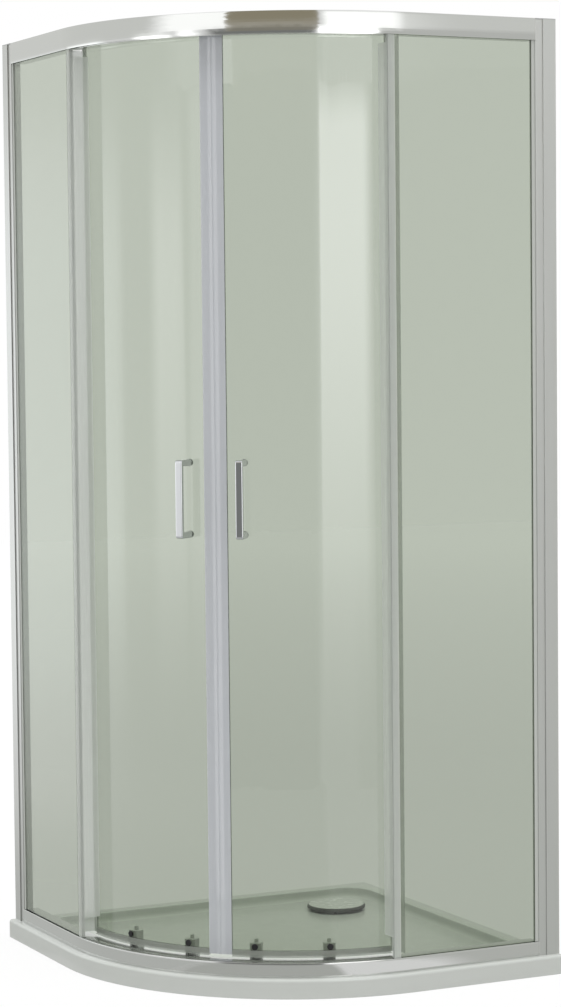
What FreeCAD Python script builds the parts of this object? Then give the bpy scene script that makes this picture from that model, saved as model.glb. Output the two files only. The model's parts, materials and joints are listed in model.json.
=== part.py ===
import FreeCAD, Part
import os
import re
import Sketcher

# Quadrant shower enclosure: a low tray, two fixed glass panels on the room walls,
# and two curved glass doors that run on rollers between a top and a bottom rail.
#
# Frame: +Z up, z = 0 under the tray, x = y = 0 at the middle of the tray's square.
# The room walls are the planes x = +trayWidth/2 and y = +trayWidth/2.
# "Offset" is the distance in from the tray's front edge, "reach" is the distance
# from a room wall along a fixed panel. All lengths are millimetres, angles degrees.

sizes = [
    # tray
    ("trayWidth", 900, "side of the square that the quadrant is cut from"),
    ("trayRadius", 550, "radius of the curved front"),
    ("trayHeight", 40, "low tray"),
    ("trayFloor", 18, "thickness under the basin"),
    ("basinFront", 72, "front edge to the basin"),
    ("basinBack", 32, "room walls to the basin"),
    ("basinCorner", 60, "corner radius of the basin in plan"),
    ("basinCove", 10, "radius where the basin's side meets its floor"),
    ("basinLip", 3, "radius at the basin's upper edge"),
    ("trayEdge", 6, "radius along the tray's upper front edge"),
    # waste
    ("wasteInset", 155, "room walls to the waste's centre"),
    ("wasteHole", 45, "radius of the hole through the tray"),
    ("wasteRecess", 60, "radius of the recess for the flange"),
    ("recessDepth", 3, "depth of that recess"),
    ("flangeRadius", 57, "waste flange"),
    ("flangeThick", 2.5, "waste flange"),
    ("wasteTube", 44, "outer radius of the waste's tube"),
    ("wasteSocket", 40, "radius of the socket for the trap"),
    ("socketDepth", 5.5, "length of that socket"),
    ("wasteThroat", 36, "radius above the socket"),
    ("cupRadius", 33, "removable strainer cup"),
    ("cupWall", 1.5, "wall of the cup"),
    ("cupRim", 8, "width of the cup's hanging rim"),
    ("cupDepth", 10.5, "cup below the flange's face"),
    ("strainerHole", 3, "radius of each drain hole"),
    ("coverRadius", 67, "waste cover"),
    ("coverThick", 8, "waste cover"),
    ("coverGap", 7, "water gap under the cover"),
    ("coverLeg", 3, "radius of a cover leg"),
    ("coverLegRing", 49, "radius on which the legs stand"),
    ("seatGap", 0.05, "gap between two pieces that rest on each other"),
    ("cutPast", 1, "how far a cut or a joined block runs past a face"),
    # rails
    ("enclosureHeight", 1950, "tray rim to the top of the enclosure"),
    ("railSetback", 15, "tray edge to the rails' outer face"),
    ("railDepth", 40, "rails from outer to inner face"),
    ("railWall", 3, "wall of both rails"),
    ("slotWidth", 10, "slot for the fixed glass"),
    ("bottomRailHeight", 30, "bottom rail"),
    ("topRailHeight", 45, "top rail"),
    ("slotFloor", 12, "bottom of the lower slot above the rail's underside"),
    ("lipThick", 2, "lips along the wheel channels"),
    ("bottomLip", 4.5, "lip that hangs in the bottom rail's channel"),
    ("trackLip", 5, "lip that stands in the top rail's channel"),
    ("upperLip", 8, "lip that hangs in the top rail's channel"),
    ("infillThick", 2, "strip that closes the lower slot between the panels"),
    ("infillGap", 0.15, "strip to slot"),
    ("infillEnd", 3, "end of the strip to the panel's seal"),
    # wall profiles and posts
    ("profileReach", 30, "wall profile out from the wall"),
    ("profileDepth", 30, "wall profile across"),
    ("profileWall", 2, "wall profile"),
    ("postStart", 8, "room wall to the back of the post"),
    ("postReach", 48, "room wall to the front of the post"),
    ("postWall", 1.6, "post"),
    ("slideGap", 0.2, "post to wall profile, each side"),
    ("pocketDepth", 12, "glass pocket in the post"),
    ("railButt", 0.2, "post to the end of a rail"),
    ("capThick", 2, "cap on a profile"),
    ("capPlug", 10, "cap's plug inside the profile"),
    ("wallHole", 2.75, "radius of a wall fixing hole"),
    ("wallHoleEnd", 100, "profile's end to its first wall fixing hole"),
    ("profileScrewEnd", 150, "profile's end to its first clamping screw"),
    ("profileScrewReach", 20, "room wall to the clamping screws"),
    ("profileScrew", 1.8, "radius of a clamping screw"),
    ("profileScrewHead", 4.2, "radius of its head"),
    ("profileHeadThick", 2.2, "its head"),
    ("profileScrewLength", 7, "under the head"),
    ("screwHoleGap", 0.35, "loose hole round a screw"),
    ("screwFit", 0.05, "tight hole round a screw"),
    ("endBlockLength", 15, "block in a rail's end"),
    ("endBlockGap", 0.2, "block to rail"),
    ("endScrew", 1.75, "radius of a rail end screw"),
    ("endScrewHead", 4, "radius of its head"),
    ("endHeadThick", 2.4, "its head"),
    ("endScrewOffset", 22, "rails' outer face to the end screws"),
    ("endScrewBite", 12, "length of screw in the block"),
    # fixed glass
    ("glassThick", 6, "toughened glass, fixed panels and doors"),
    ("fixedGlassBack", 2, "slot's outer wall to the fixed glass"),
    ("fixedGlassPast", 39, "start of the curve to the fixed glass's free edge"),
    ("glassSeat", 0.3, "fixed glass to the bottom of its slot"),
    ("glassEntry", 17, "fixed glass up into the top rail"),
    ("gasketWall", 1, "glazing gasket"),
    ("gasketGap", 0.1, "gasket to glass and to post"),
    ("gasketShow", 8, "gasket standing out of the post"),
    ("sealWall", 1.2, "clip of every edge seal"),
    ("sealGap", 0.2, "clip to glass"),
    ("fixedClip", 14, "fixed panel's seal along the glass"),
    ("finThick", 1, "fin of a seal"),
    ("finGap", 0.6, "fin to the other pane"),
    ("finBottom", 42, "bottom rail to the fixed panel's fin"),
    ("finTop", 15, "fixed panel's fin to the top rail"),
    ("railGap", 0.2, "seals and gaskets to the rails"),
    # doors
    ("doorGap", 5, "rails' inner face to the door glass"),
    ("doorStart", 10.5, "middle line to the door glass"),
    ("doorShort", 12.85, "door glass's trailing edge to the end of the curve, along the glass"),
    ("doorLift", 6, "bottom rail's top to the door glass"),
    ("doorOverlap", 33, "door glass up behind the top rail"),
    ("doorTravel", 213.8, "how far a door runs, along its glass"),
    ("meetingGap", 0.15, "middle line to a magnetic strip"),
    ("magnetClip", 14, "magnetic seal along the glass"),
    ("trailingClip", 12, "trailing seal along the glass"),
    ("sealEndGap", 1, "bottom seal to its neighbours at both ends"),
    ("dripLeg", 10, "bottom seal up the glass"),
    ("dripBase", 3.5, "bottom seal under the glass"),
    ("dripLip", 2.6, "bottom seal's lip towards the rail"),
    # handles
    ("handleInset", 60, "middle line to a handle, along the glass"),
    ("handleHeight", 1013, "floor to the handle's centre"),
    ("handleLength", 160, "handle"),
    ("handleProud", 45, "door glass to the handle's front"),
    ("handleLeg", 13, "thickness of a handle's leg"),
    ("handleGrip", 10, "thickness of a handle's grip"),
    ("handleWidth", 15, "width of a handle"),
    ("handleCorner", 6, "outer corner radius of a handle"),
    ("handleEdge", 2, "edge radius of a handle"),
    ("handleHole", 5, "radius of a handle's hole in the glass"),
    ("handleScrew", 2.4, "radius of a handle screw"),
    ("handleScrewBite", 12, "screw inside the handle's leg"),
    ("handleScrewHead", 7, "radius of its head"),
    ("handleHeadThick", 4, "its head"),
    ("handleHeadEdge", 1.5, "chamfer on that head"),
    ("washerRadius", 8, "handle washer"),
    ("washerThick", 1, "handle washer"),
    ("washerGap", 0.15, "washer to the curved glass"),
    # rollers
    ("rollerLead", 73, "middle line to the leading rollers, along the glass"),
    ("rollerTrail", 228, "middle line to the trailing rollers"),
    ("wheelWidth", 8, "every wheel"),
    ("wheelSide", 5, "channel's back to a wheel"),
    ("wheelPlay", 0.2, "wheel to its shoulder and to its head"),
    ("wheelFit", 0.06, "wheel's bore round its axle"),
    ("wheelEdge", 0.8, "chamfer on a wheel's tread"),
    ("topWheel", 11, "radius of a top wheel"),
    ("topAxle", 3, "radius of its axle"),
    ("bottomWheel", 8, "radius of a bottom wheel"),
    ("bottomAxle", 2.5, "radius of its axle"),
    ("trackGap", 0.15, "top wheel to the floor of its channel"),
    ("ceilingGap", 0.3, "bottom wheel to the ceiling of its channel"),
    ("axleHead", 1.2, "thickness of the head that keeps a wheel on"),
    ("axleHeadStep", 1.5, "head's radius over the axle's"),
    ("shoulderLength", 1.8, "shoulder behind a wheel"),
    ("hangerFlange", 9, "radius of a hanger's flange"),
    ("hangerFlangeThick", 3.2, "hanger's flange on the glass"),
    ("hangerStem", 4, "radius of a hanger's stem"),
    ("hangerHole", 6, "radius of its hole in the glass"),
    ("hangerBush", 5.7, "radius of its bush in that hole"),
    ("hangerFit", 0.06, "cap nut's bore round the stem"),
    ("capNutRadius", 12, "cap nut inside the glass"),
    ("capNutThick", 12, "cap nut"),
    ("capNutEdge", 2.5, "round edge of a cap nut"),
    ("hangerTail", 3, "end of a hanger's stem to the cap nut's face"),
    ("capNutFloor", 2.8, "face of a cap nut over its bore"),
    ("glassFaceGap", 0.25, "flat face to the curved glass"),
    ("housingDepth", 20, "lower roller's housing, inwards"),
    ("housingWidth", 24, "lower roller's housing"),
    ("housingBack", 1.8, "housing to the door glass"),
    ("housingLow", 14, "tray rim to the housing's underside"),
    ("housingTop", 60, "tray rim to the housing's top"),
    ("housingPad", 13, "height of the housing's pad on the glass"),
    ("padInset", 2, "housing's side to the pad's side"),
    ("housingEdge", 3, "round edges of a housing"),
    ("housingScrew", 2.4, "radius of a housing's screw"),
    ("housingScrewHead", 6.5, "radius of its head"),
    ("housingHeadThick", 2.6, "its head"),
    ("housingHeadEdge", 1, "chamfer on that head"),
    ("housingScrewBite", 5, "screw inside the housing"),
    ("buttonRadius", 4, "release button"),
    ("buttonProud", 8, "button over the housing"),
    ("buttonTravel", 5.5, "how far a button goes down"),
    ("buttonFit", 0.3, "button and its block to the housing"),
    ("buttonOffset", 12, "door glass to the button's centre"),
    ("ledgeLow", 32, "tray rim to the ledge under the spring"),
    ("ledgeThick", 4, "ledge under the spring"),
    ("springBore", 6.5, "radius of the spring's bore"),
    ("springRadius", 5.2, "middle radius of the spring"),
    ("springWire", 0.4, "radius of the spring's wire"),
    ("springTurns", 5, "turns of the spring"),
    ("springEnd", 0.1, "spring to its ledge and to the collar"),
    ("boreRoof", 3, "roof over the spring's bore"),
    ("collarLow", 50, "tray rim to the button's collar"),
    ("collarThick", 3, "button's collar"),
    ("collarRadius", 6, "button's collar"),
    ("blockHalf", 6, "half width of the block that holds the lower axle"),
    ("blockLow", 12, "tray rim to that block's underside"),
    ("lowerStem", 3.2, "radius of the lower axle's stem"),
    # door stops
    ("stopLength", 15, "door stop in the top rail"),
    ("stopHeight", 27, "door stop"),
    ("stopGap", 1, "open door's wheel to its stop"),
]

doc = FreeCAD.newDocument("QuadrantShower")
sheet = doc.addObject("Spreadsheet::Sheet", "Sizes")
for row, (alias, number, note) in enumerate(sizes, start=1):
    sheet.set(f"A{row}", note)
    sheet.set(f"B{row}", str(number))
    sheet.setAlias(f"B{row}", alias)
doc.recompute()

aliases = {alias for alias, number, note in sizes}
vector = FreeCAD.Vector
upright = vector(0, 0, 1)

# Places that several pieces share, as formulas of the sheet.
half = "(trayWidth / 2)"
arcCentre = "(trayRadius - trayWidth / 2)"
wallRun = "(trayWidth - trayRadius)"
enclosureTop = "(trayHeight + enclosureHeight)"
bottomRailTop = "(trayHeight + bottomRailHeight)"
topRailLow = f"({enclosureTop} - topRailHeight)"
slotNear = "(railSetback + railWall)"
slotFar = f"({slotNear} + slotWidth)"
channelBack = f"({slotFar} + railWall)"
railInner = "(railSetback + railDepth)"
profileTop = f"({enclosureTop} - capThick)"
fixedNear = f"({slotNear} + fixedGlassBack)"
fixedFar = f"({fixedNear} + glassThick)"
doorOuter = f"(trayRadius - {railInner} - doorGap)"
doorInner = f"({doorOuter} - glassThick)"
doorLow = f"({bottomRailTop} + doorLift)"
doorTop = f"({topRailLow} + doorOverlap)"
fixedGlassReach = f"({wallRun} + fixedGlassPast)"
doorEnd = f"({doorOuter} * pi / 4 - doorShort)"
wheelOuter = f"(trayRadius - {channelBack} - wheelSide)"
wheelInner = f"({wheelOuter} - wheelWidth)"
topWheelHeight = f"({topRailLow} + railWall + trackGap + topWheel)"
bottomWheelHeight = f"({bottomRailTop} - railWall - ceilingGap - bottomWheel)"
housingScrewHeight = "(trayHeight + housingTop - housingPad / 2)"
buttonCentre = f"({doorInner} - buttonOffset)"
housingOuter = f"({doorInner} - housingBack)"
housingInner = f"({housingOuter} - housingDepth)"
middleAngle = "225"
handSigns = {"left": 1, "right": -1}


def formula(text):
    """The text with every alias pointing into the sheet."""
    return re.sub(r"[A-Za-z]\w*", lambda m: "Sizes." + m.group() if m.group() in aliases else m.group(), text)


def value(text):
    result = sheet.evalExpression(formula(text))
    return float(getattr(result, "Value", result))


def bind(item, name, text):
    item.setExpression(name, formula(text))


def alongDoor(length):
    """Angle, from the middle line, of a length along the door glass."""
    return f"(({length}) / {doorOuter} * 180 / pi)"


def originPart(body, role):
    return next(part for part in body.Origin.OriginFeatures if part.Role == role)


def newBody(name, x="0", y="0", z="0", turn=None):
    body = doc.addObject("PartDesign::Body", name)
    body.Placement = FreeCAD.Placement(vector(0, 0, 0), FreeCAD.Rotation(upright, 90))
    bind(body, "Placement.Rotation.Angle", turn or "0")
    for axis, text in (("x", x), ("y", y), ("z", z)):
        bind(body, f"Placement.Base.{axis}", text)
    return body


def arcBody(name, angle=middleAngle, z="0"):
    """A body at the quadrant's centre, its x axis pointing out at the angle."""
    return newBody(name, arcCentre, arcCentre, z, angle)


def wallBody(name, hand, z="0"):
    """A body where a room wall meets the tray's edge: x is reach, hand * y is offset."""
    if hand > 0:
        return newBody(name, f"-{half}", half, z, "270")
    return newBody(name, half, f"-{half}", z, "180")


def newSketch(body, name, role, lift="0", turn=None):
    sketch = body.newObject("Sketcher::SketchObject", name)
    sketch.AttachmentSupport = [(originPart(body, role), "")]
    sketch.MapMode = "FlatFace"
    if turn is not None:
        sketch.AttachmentOffset = FreeCAD.Placement(vector(), FreeCAD.Rotation(vector(0, 1, 0), 1))
        bind(sketch, "AttachmentOffset.Rotation.Angle", turn)
    if lift != "0":
        bind(sketch, "AttachmentOffset.Base.z", lift)
    return sketch


def pinPoint(sketch, geometry, end, x, y):
    """Holds one point of the sketch at two formulas."""
    for kind, text in (("DistanceX", x), ("DistanceY", y)):
        number = sketch.addConstraint(Sketcher.Constraint(kind, -1, 1, geometry, end, value(text)))
        bind(sketch, f"Constraints[{number}]", text)


def drawPolygon(sketch, corners):
    points = [vector(value(x), value(y), 0) for x, y in corners]
    count = len(points)
    for index, point in enumerate(points):
        sketch.addGeometry(Part.LineSegment(point, points[(index + 1) % count]), False)
    for index in range(count):
        sketch.addConstraint(Sketcher.Constraint("Coincident", index, 2, (index + 1) % count, 1))
    for index, (x, y) in enumerate(corners):
        pinPoint(sketch, index, 1, x, y)


def drawCircle(sketch, x, y, radius):
    centre = vector(value(x), value(y), 0)
    circle = sketch.addGeometry(Part.Circle(centre, upright, value(radius)), False)
    pinPoint(sketch, circle, 3, x, y)
    number = sketch.addConstraint(Sketcher.Constraint("Radius", circle, value(radius)))
    bind(sketch, f"Constraints[{number}]", radius)


def extrude(body, sketch, length, cut=False):
    """Pads the sketch along its normal, or cuts along it."""
    kind = "Pocket" if cut else "Pad"
    before = body.Shape.Volume if cut else 0
    feature = body.newObject(f"PartDesign::{kind}", sketch.Name + kind)
    feature.Profile = sketch
    feature.Reversed = cut
    bind(feature, "Length", length)
    doc.recompute()
    if cut and feature.Shape.Volume >= before - 1e-6:
        raise ValueError(f"{body.Label}: {sketch.Name} cuts nothing")
    return feature


def prism(body, name, corners, low, high, cut=False):
    sketch = newSketch(body, name, "XY_Plane", low)
    drawPolygon(sketch, corners)
    return extrude(body, sketch, f"({high}) - ({low})", cut)


def rod(body, name, x, y, radius, low, high, cut=False):
    sketch = newSketch(body, name, "XY_Plane", low)
    drawCircle(sketch, x, y, radius)
    return extrude(body, sketch, f"({high}) - ({low})", cut)


def box(x0, x1, y0, y1):
    return [(x0, y0), (x1, y0), (x1, y1), (x0, y1)]


def revolve(body, sketch, axis, sweep="360", cut=False):
    kind = "Groove" if cut else "Revolution"
    before = body.Shape.Volume if cut else 0
    feature = body.newObject(f"PartDesign::{kind}", sketch.Name + kind)
    feature.Profile = sketch
    feature.ReferenceAxis = (sketch, [axis])
    bind(feature, "Angle", sweep)
    doc.recompute()
    if cut and feature.Shape.Volume >= before - 1e-6:
        raise ValueError(f"{body.Label}: {sketch.Name} cuts nothing")
    return feature


def spun(body, name, corners, sweep="360", turn=None, cut=False):
    """Turns an outline of (radius, height) about the body's upright axis."""
    sketch = newSketch(body, name, "XZ_Plane", turn=turn)
    drawPolygon(sketch, corners)
    return revolve(body, sketch, "V_Axis", sweep, cut)


def turnOutline(body, sketch, points, height, cut):
    """Turns an outline of (distance, radius) about the level line at the height."""
    drawPolygon(sketch, [(x, f"({height}) + ({radius})") for x, radius in points])
    ends = [points[0][0], next(x for x, radius in points if value(x) != value(points[0][0]))]
    places = [vector(value(x), value(height), 0) for x in ends]
    axis = sketch.addGeometry(Part.LineSegment(*places), True)
    for end, x in enumerate(ends, start=1):
        pinPoint(sketch, axis, end, x, height)
    return revolve(body, sketch, "Axis0", cut=cut)


def turned(body, name, corners, height="0", turn=None, cut=False):
    """A piece turned about a level axis that points out from the quadrant's centre."""
    return turnOutline(body, newSketch(body, name, "XZ_Plane", turn=turn), corners, height, cut)


def ring(body, name, inner, outer, start, end, low, high, hand):
    """A piece of ring from start to end degrees off the middle line, on one hand's side."""
    turn = f"-({end})" if hand > 0 else f"({start})"
    corners = [(inner, low), (outer, low), (outer, high), (inner, high)]
    return spun(body, name, corners, f"({end}) - ({start})", turn)


def repeat(body, kind, features, axisRole, extentName, extent, count, flip=False):
    pattern = body.newObject(f"PartDesign::{kind}", body.Name + kind)
    pattern.Originals = features
    if kind == "PolarPattern":
        pattern.Axis = (originPart(body, axisRole), [""])
    else:
        pattern.Direction = (originPart(body, axisRole), [""])
    bind(pattern, extentName, extent)
    pattern.Occurrences = count
    pattern.Reversed = flip
    body.Tip = pattern
    doc.recompute()
    return pattern


def roundEdges(body, name, radius, wanted):
    """Fillets the edges of the body's tip for which wanted(edge) is true."""
    doc.recompute()
    base = body.Tip
    chosen = [f"Edge{n}" for n, edge in enumerate(base.Shape.Edges, start=1) if wanted(edge)]
    fillet = body.newObject("PartDesign::Fillet", name)
    fillet.Base = (base, chosen)
    bind(fillet, "Radius", radius)
    doc.recompute()
    return fillet


def isUpright(edge):
    box3 = edge.BoundBox
    return box3.ZLength > 0.1 and box3.XLength < 1e-4 and box3.YLength < 1e-4


def isLevel(edge, height):
    return abs(edge.BoundBox.ZMin - height) < 1e-4 and abs(edge.BoundBox.ZMax - height) < 1e-4


def quadrantOutline(sketch, front, back):
    """The tray's outline, moved in by front along its front and by back along the walls."""
    near, far = value(f"-{half} + {front}"), value(f"{half} - {back}")
    centre, radius = value(arcCentre), value(f"trayRadius - {front}")
    corners = [vector(near, centre), vector(near, far), vector(far, far), vector(far, near), vector(centre, near)]
    for first, second in zip(corners, corners[1:]):
        sketch.addGeometry(Part.LineSegment(first, second), False)
    circle = Part.Circle(vector(centre, centre), upright, radius)
    halfTurn = value("pi")
    arc = sketch.addGeometry(Part.ArcOfCircle(circle, halfTurn, 1.5 * halfTurn), False)
    for index in range(3):
        sketch.addConstraint(Sketcher.Constraint("Coincident", index, 2, index + 1, 1))
    for index, kind in enumerate(("Vertical", "Horizontal", "Vertical", "Horizontal")):
        sketch.addConstraint(Sketcher.Constraint(kind, index))
    sketch.addConstraint(Sketcher.Constraint("Tangent", arc, 1, 0, 1))
    sketch.addConstraint(Sketcher.Constraint("Tangent", arc, 2, 3, 2))
    pinPoint(sketch, arc, 3, arcCentre, arcCentre)
    number = sketch.addConstraint(Sketcher.Constraint("Radius", arc, radius))
    bind(sketch, f"Constraints[{number}]", f"trayRadius - {front}")
    pinPoint(sketch, 1, 2, f"{half} - {back}", f"{half} - {back}")


# ---- tray and waste ------------------------------------------------------------


def makeTray():
    body = newBody("shower_tray")
    outline = newSketch(body, "trayOutline", "XY_Plane")
    quadrantOutline(outline, "0", "0")
    extrude(body, outline, "trayHeight")
    basin = newSketch(body, "basinOutline", "XY_Plane", "trayFloor")
    quadrantOutline(basin, "basinFront", "basinBack")
    extrude(body, basin, "trayHeight - trayFloor", cut=True)
    floor, rim = value("trayFloor"), value("trayHeight")
    roundEdges(body, "basinCorners", "basinCorner",
               lambda edge: isUpright(edge) and abs(edge.BoundBox.ZMin - floor) < 1e-4
               and edge.CenterOfMass.x + edge.CenterOfMass.y > 0.01 - value("basinFront")
               and max(edge.CenterOfMass.x, edge.CenterOfMass.y) > value(f"{half} - basinBack - 1"))
    roundEdges(body, "basinCoves", "basinCove", lambda edge: isLevel(edge, floor))
    outerWalls = value(half) - 1e-3

    def frontEdge(edge):
        middle = edge.CenterOfMass
        return isLevel(edge, rim) and max(middle.x, middle.y) < outerWalls and not innerEdge(edge)

    def innerEdge(edge):
        reach = value(f"{half} - basinFront") + 1e-3
        box3 = edge.BoundBox
        return isLevel(edge, rim) and box3.XMin > -reach and box3.YMin > -reach \
            and max(box3.XMax, box3.YMax) < outerWalls

    roundEdges(body, "frontEdges", "trayEdge", frontEdge)
    roundEdges(body, "basinLips", "basinLip", innerEdge)
    place = f"{half} - wasteInset"
    rod(body, "recess", place, place, "wasteRecess", "trayFloor - recessDepth", "trayFloor", cut=True)
    rod(body, "drain", place, place, "wasteHole", "0", "trayFloor - recessDepth", cut=True)
    return body


def wasteBody(name):
    return newBody(name, f"{half} - wasteInset", f"{half} - wasteInset")


flangeLow = "(trayFloor - recessDepth + seatGap)"
flangeTop = f"({flangeLow} + flangeThick)"


def makeWasteFlange():
    body = wasteBody("waste_flange")
    tubeLow = "0.5"
    socketTop = f"({tubeLow} + socketDepth)"
    spun(body, "flangeSection", [
        ("wasteSocket", tubeLow), ("wasteTube", tubeLow), ("wasteTube", flangeLow),
        ("flangeRadius", flangeLow), ("flangeRadius", flangeTop), ("wasteThroat", flangeTop),
        ("wasteThroat", socketTop), ("wasteSocket", socketTop)])
    return body


def makeWasteCup():
    body = wasteBody("waste_strainer_cup")
    low = f"({flangeTop} - cupDepth)"
    rimLow = f"({flangeTop} + seatGap)"
    rimTop = f"({rimLow} + cupWall)"
    spun(body, "cupSection", [
        ("0", low), ("cupRadius", low), ("cupRadius", rimLow), ("cupRadius + cupRim", rimLow),
        ("cupRadius + cupRim", rimTop), ("cupRadius - cupWall", rimTop),
        ("cupRadius - cupWall", f"{low} + cupWall"), ("0", f"{low} + cupWall")])
    hole = rod(body, "strainerHole", "cupRadius * 0.6", "0", "strainerHole", low, f"{low} + cupWall", cut=True)
    repeat(body, "PolarPattern", [hole], "Z_Axis", "Angle", "360", 8)
    return body


def makeWasteCover():
    body = wasteBody("waste_cover")
    legLow = f"({flangeTop} + seatGap)"
    low = f"({flangeTop} + coverGap)"
    top = f"({low} + coverThick)"
    spun(body, "coverSection", [("0", low), ("coverRadius", low), ("coverRadius", top), ("0", top)])
    crown = value(top)
    roundEdges(body, "coverCrown", "coverThick * 0.8", lambda edge: isLevel(edge, crown))
    leg = rod(body, "coverLeg", "coverLegRing", "0", "coverLeg", legLow, f"{low} + cutPast")
    repeat(body, "PolarPattern", [leg], "Z_Axis", "Angle", "360", 3)
    return body


# ---- rails ---------------------------------------------------------------------


def makeRail(name, height, section):
    """Bends one extrusion along the tray: straight, quarter circle, straight."""
    body = newBody(name, z=height)
    path = newSketch(body, name + "Path", "XY_Plane")
    line = f"(-{half} + {railInner})"
    end = f"({half} - postReach - railButt)"
    x, y, centre = value(line), value(end), value(arcCentre)
    radius = value(f"trayRadius - {railInner}")
    path.addGeometry(Part.LineSegment(vector(x, y), vector(x, centre)), False)
    circle = Part.Circle(vector(centre, centre), upright, radius)
    halfTurn = value("pi")
    path.addGeometry(Part.ArcOfCircle(circle, halfTurn, 1.5 * halfTurn), False)
    path.addGeometry(Part.LineSegment(vector(centre, x), vector(y, x)), False)
    path.addConstraint(Sketcher.Constraint("Vertical", 0))
    path.addConstraint(Sketcher.Constraint("Horizontal", 2))
    path.addConstraint(Sketcher.Constraint("Tangent", 1, 1, 0, 2))
    path.addConstraint(Sketcher.Constraint("Tangent", 1, 2, 2, 1))
    pinPoint(path, 1, 3, arcCentre, arcCentre)
    pinPoint(path, 0, 1, line, end)
    number = path.addConstraint(Sketcher.Constraint("DistanceX", -1, 1, 2, 2, y))
    bind(path, f"Constraints[{number}]", end)
    profile = newSketch(body, name + "Section", "XZ_Plane", lift=f"-{end}")
    drawPolygon(profile, [(f"-{half} + {offset}", z) for offset, z in section])
    pipe = body.newObject("PartDesign::AdditivePipe", name + "Pipe")
    pipe.Profile = profile
    pipe.Spine = (path, ["Edge1", "Edge2", "Edge3"])
    doc.recompute()
    return body


lipNear = f"({railInner} - lipThick)"


def makeBottomRail():
    top = "bottomRailHeight"
    ceiling = "(bottomRailHeight - railWall)"
    underSlot = "(slotFloor - railWall)"
    return makeRail("bottom_rail", "trayHeight", [
        ("railSetback", "0"), (slotNear, "0"), (slotNear, underSlot), (slotFar, underSlot),
        (slotFar, "0"), (railInner, "0"), (railInner, "railWall"), (channelBack, "railWall"),
        (channelBack, ceiling), (lipNear, ceiling), (lipNear, f"{ceiling} - bottomLip"),
        (railInner, f"{ceiling} - bottomLip"), (railInner, top), (slotFar, top),
        (slotFar, "slotFloor"), (slotNear, "slotFloor"), (slotNear, top), ("railSetback", top)])


def makeTopRail():
    top = "topRailHeight"
    ceiling = "(topRailHeight - railWall)"
    return makeRail("top_rail", topRailLow, [
        ("railSetback", "0"), (slotNear, "0"), (slotNear, ceiling), (slotFar, ceiling),
        (slotFar, "0"), (railInner, "0"), (railInner, "railWall + trackLip"),
        (lipNear, "railWall + trackLip"), (lipNear, "railWall"), (channelBack, "railWall"),
        (channelBack, ceiling), (lipNear, ceiling), (lipNear, f"{ceiling} - upperLip"),
        (railInner, f"{ceiling} - upperLip"), (railInner, top), ("railSetback", top)])


def makeInfill():
    """A channel strip that closes the lower slot between the two fixed panels."""
    body = arcBody("rail_infill_strip", z="trayHeight")
    sealReach = f"({fixedGlassReach} + sealGap + sealWall + infillEnd - {wallRun})"
    halfSpan = f"(45 - atan({sealReach} / (trayRadius - {slotFar})) / 1deg)"
    near, far = f"({slotNear} + infillGap)", f"({slotFar} - infillGap)"
    low, top = "(slotFloor + seatGap)", "bottomRailHeight"
    outline = [(near, low), (f"{near} + infillThick", low), (f"{near} + infillThick", f"{top} - infillThick"),
               (f"{far} - infillThick", f"{top} - infillThick"), (f"{far} - infillThick", low),
               (far, low), (far, top), (near, top)]
    corners = [(f"trayRadius - ({offset})", z) for offset, z in outline]
    spun(body, "infillSection", corners, f"2 * {halfSpan}", f"-{halfSpan}")
    return body


# ---- wall side: profiles, posts, fixed glass --------------------------------------


def across(hand, corners):
    """Turns (reach, offset) corners into a wall body's x and y."""
    return [(reach, f"{hand} * ({offset})") for reach, offset in corners]


profileFar = "(railSetback + profileDepth)"
postNear = "(railSetback + profileWall + slideGap)"
postFar = f"({profileFar} - profileWall - slideGap)"
pocketNear = f"({postNear} + postWall)"
pocketFar = f"({fixedFar} + gasketWall + 2 * gasketGap)"
pocketEnd = "(postReach - pocketDepth)"
profileHigh = f"({profileTop} - trayHeight)"
endScrewAcross = "(railSetback + endScrewOffset)"


def sideways(body, name, hand, corners, reach, height, cut=False):
    """A piece turned about a level axis that crosses the panel at the reach."""
    points = [(f"{hand} * ({offset})", radius) for offset, radius in corners]
    return turnOutline(body, newSketch(body, name, "YZ_Plane", lift=reach), points, height, cut)


def lengthways(body, name, hand, corners, height, cut=False):
    """A piece turned about the level axis of the rail end screws."""
    sketch = newSketch(body, name, "XZ_Plane", lift=f"-({hand} * {endScrewAcross})")
    return turnOutline(body, sketch, corners, height, cut)


def makeWallProfile(side, hand):
    body = wallBody(f"wall_profile_{side}", hand, "trayHeight")
    near, far = f"(railSetback + profileWall)", f"({profileFar} - profileWall)"
    prism(body, "profileSection", across(hand, [
        ("0", "railSetback"), ("profileReach", "railSetback"), ("profileReach", near), ("profileWall", near),
        ("profileWall", far), ("profileReach", far), ("profileReach", profileFar), ("0", profileFar)]),
        "0", profileHigh)
    middle = f"{hand} * (railSetback + profileDepth / 2)"
    sketch = newSketch(body, "wallHole", "YZ_Plane")
    drawCircle(sketch, middle, "wallHoleEnd", "wallHole")
    hole = extrude(body, sketch, "profileWall", cut=True)
    repeat(body, "LinearPattern", [hole], "Z_Axis", "Length", f"{profileHigh} - 2 * wallHoleEnd", 4)
    radius = "profileScrew + screwHoleGap"
    hole = sideways(body, "screwHole", hand, [
        (far, "0"), (far, radius), (profileFar, radius), (profileFar, "0")],
        "profileScrewReach", "profileScrewEnd", cut=True)
    repeatScrews(body, hole)
    return body


def repeatScrews(body, feature):
    pattern = body.newObject("PartDesign::LinearPattern", body.Name + "Screws")
    pattern.Originals = [feature]
    pattern.Direction = (originPart(body, "Z_Axis"), [""])
    bind(pattern, "Length", f"{profileHigh} - 2 * profileScrewEnd")
    pattern.Occurrences = 3
    body.Tip = pattern
    doc.recompute()


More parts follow.
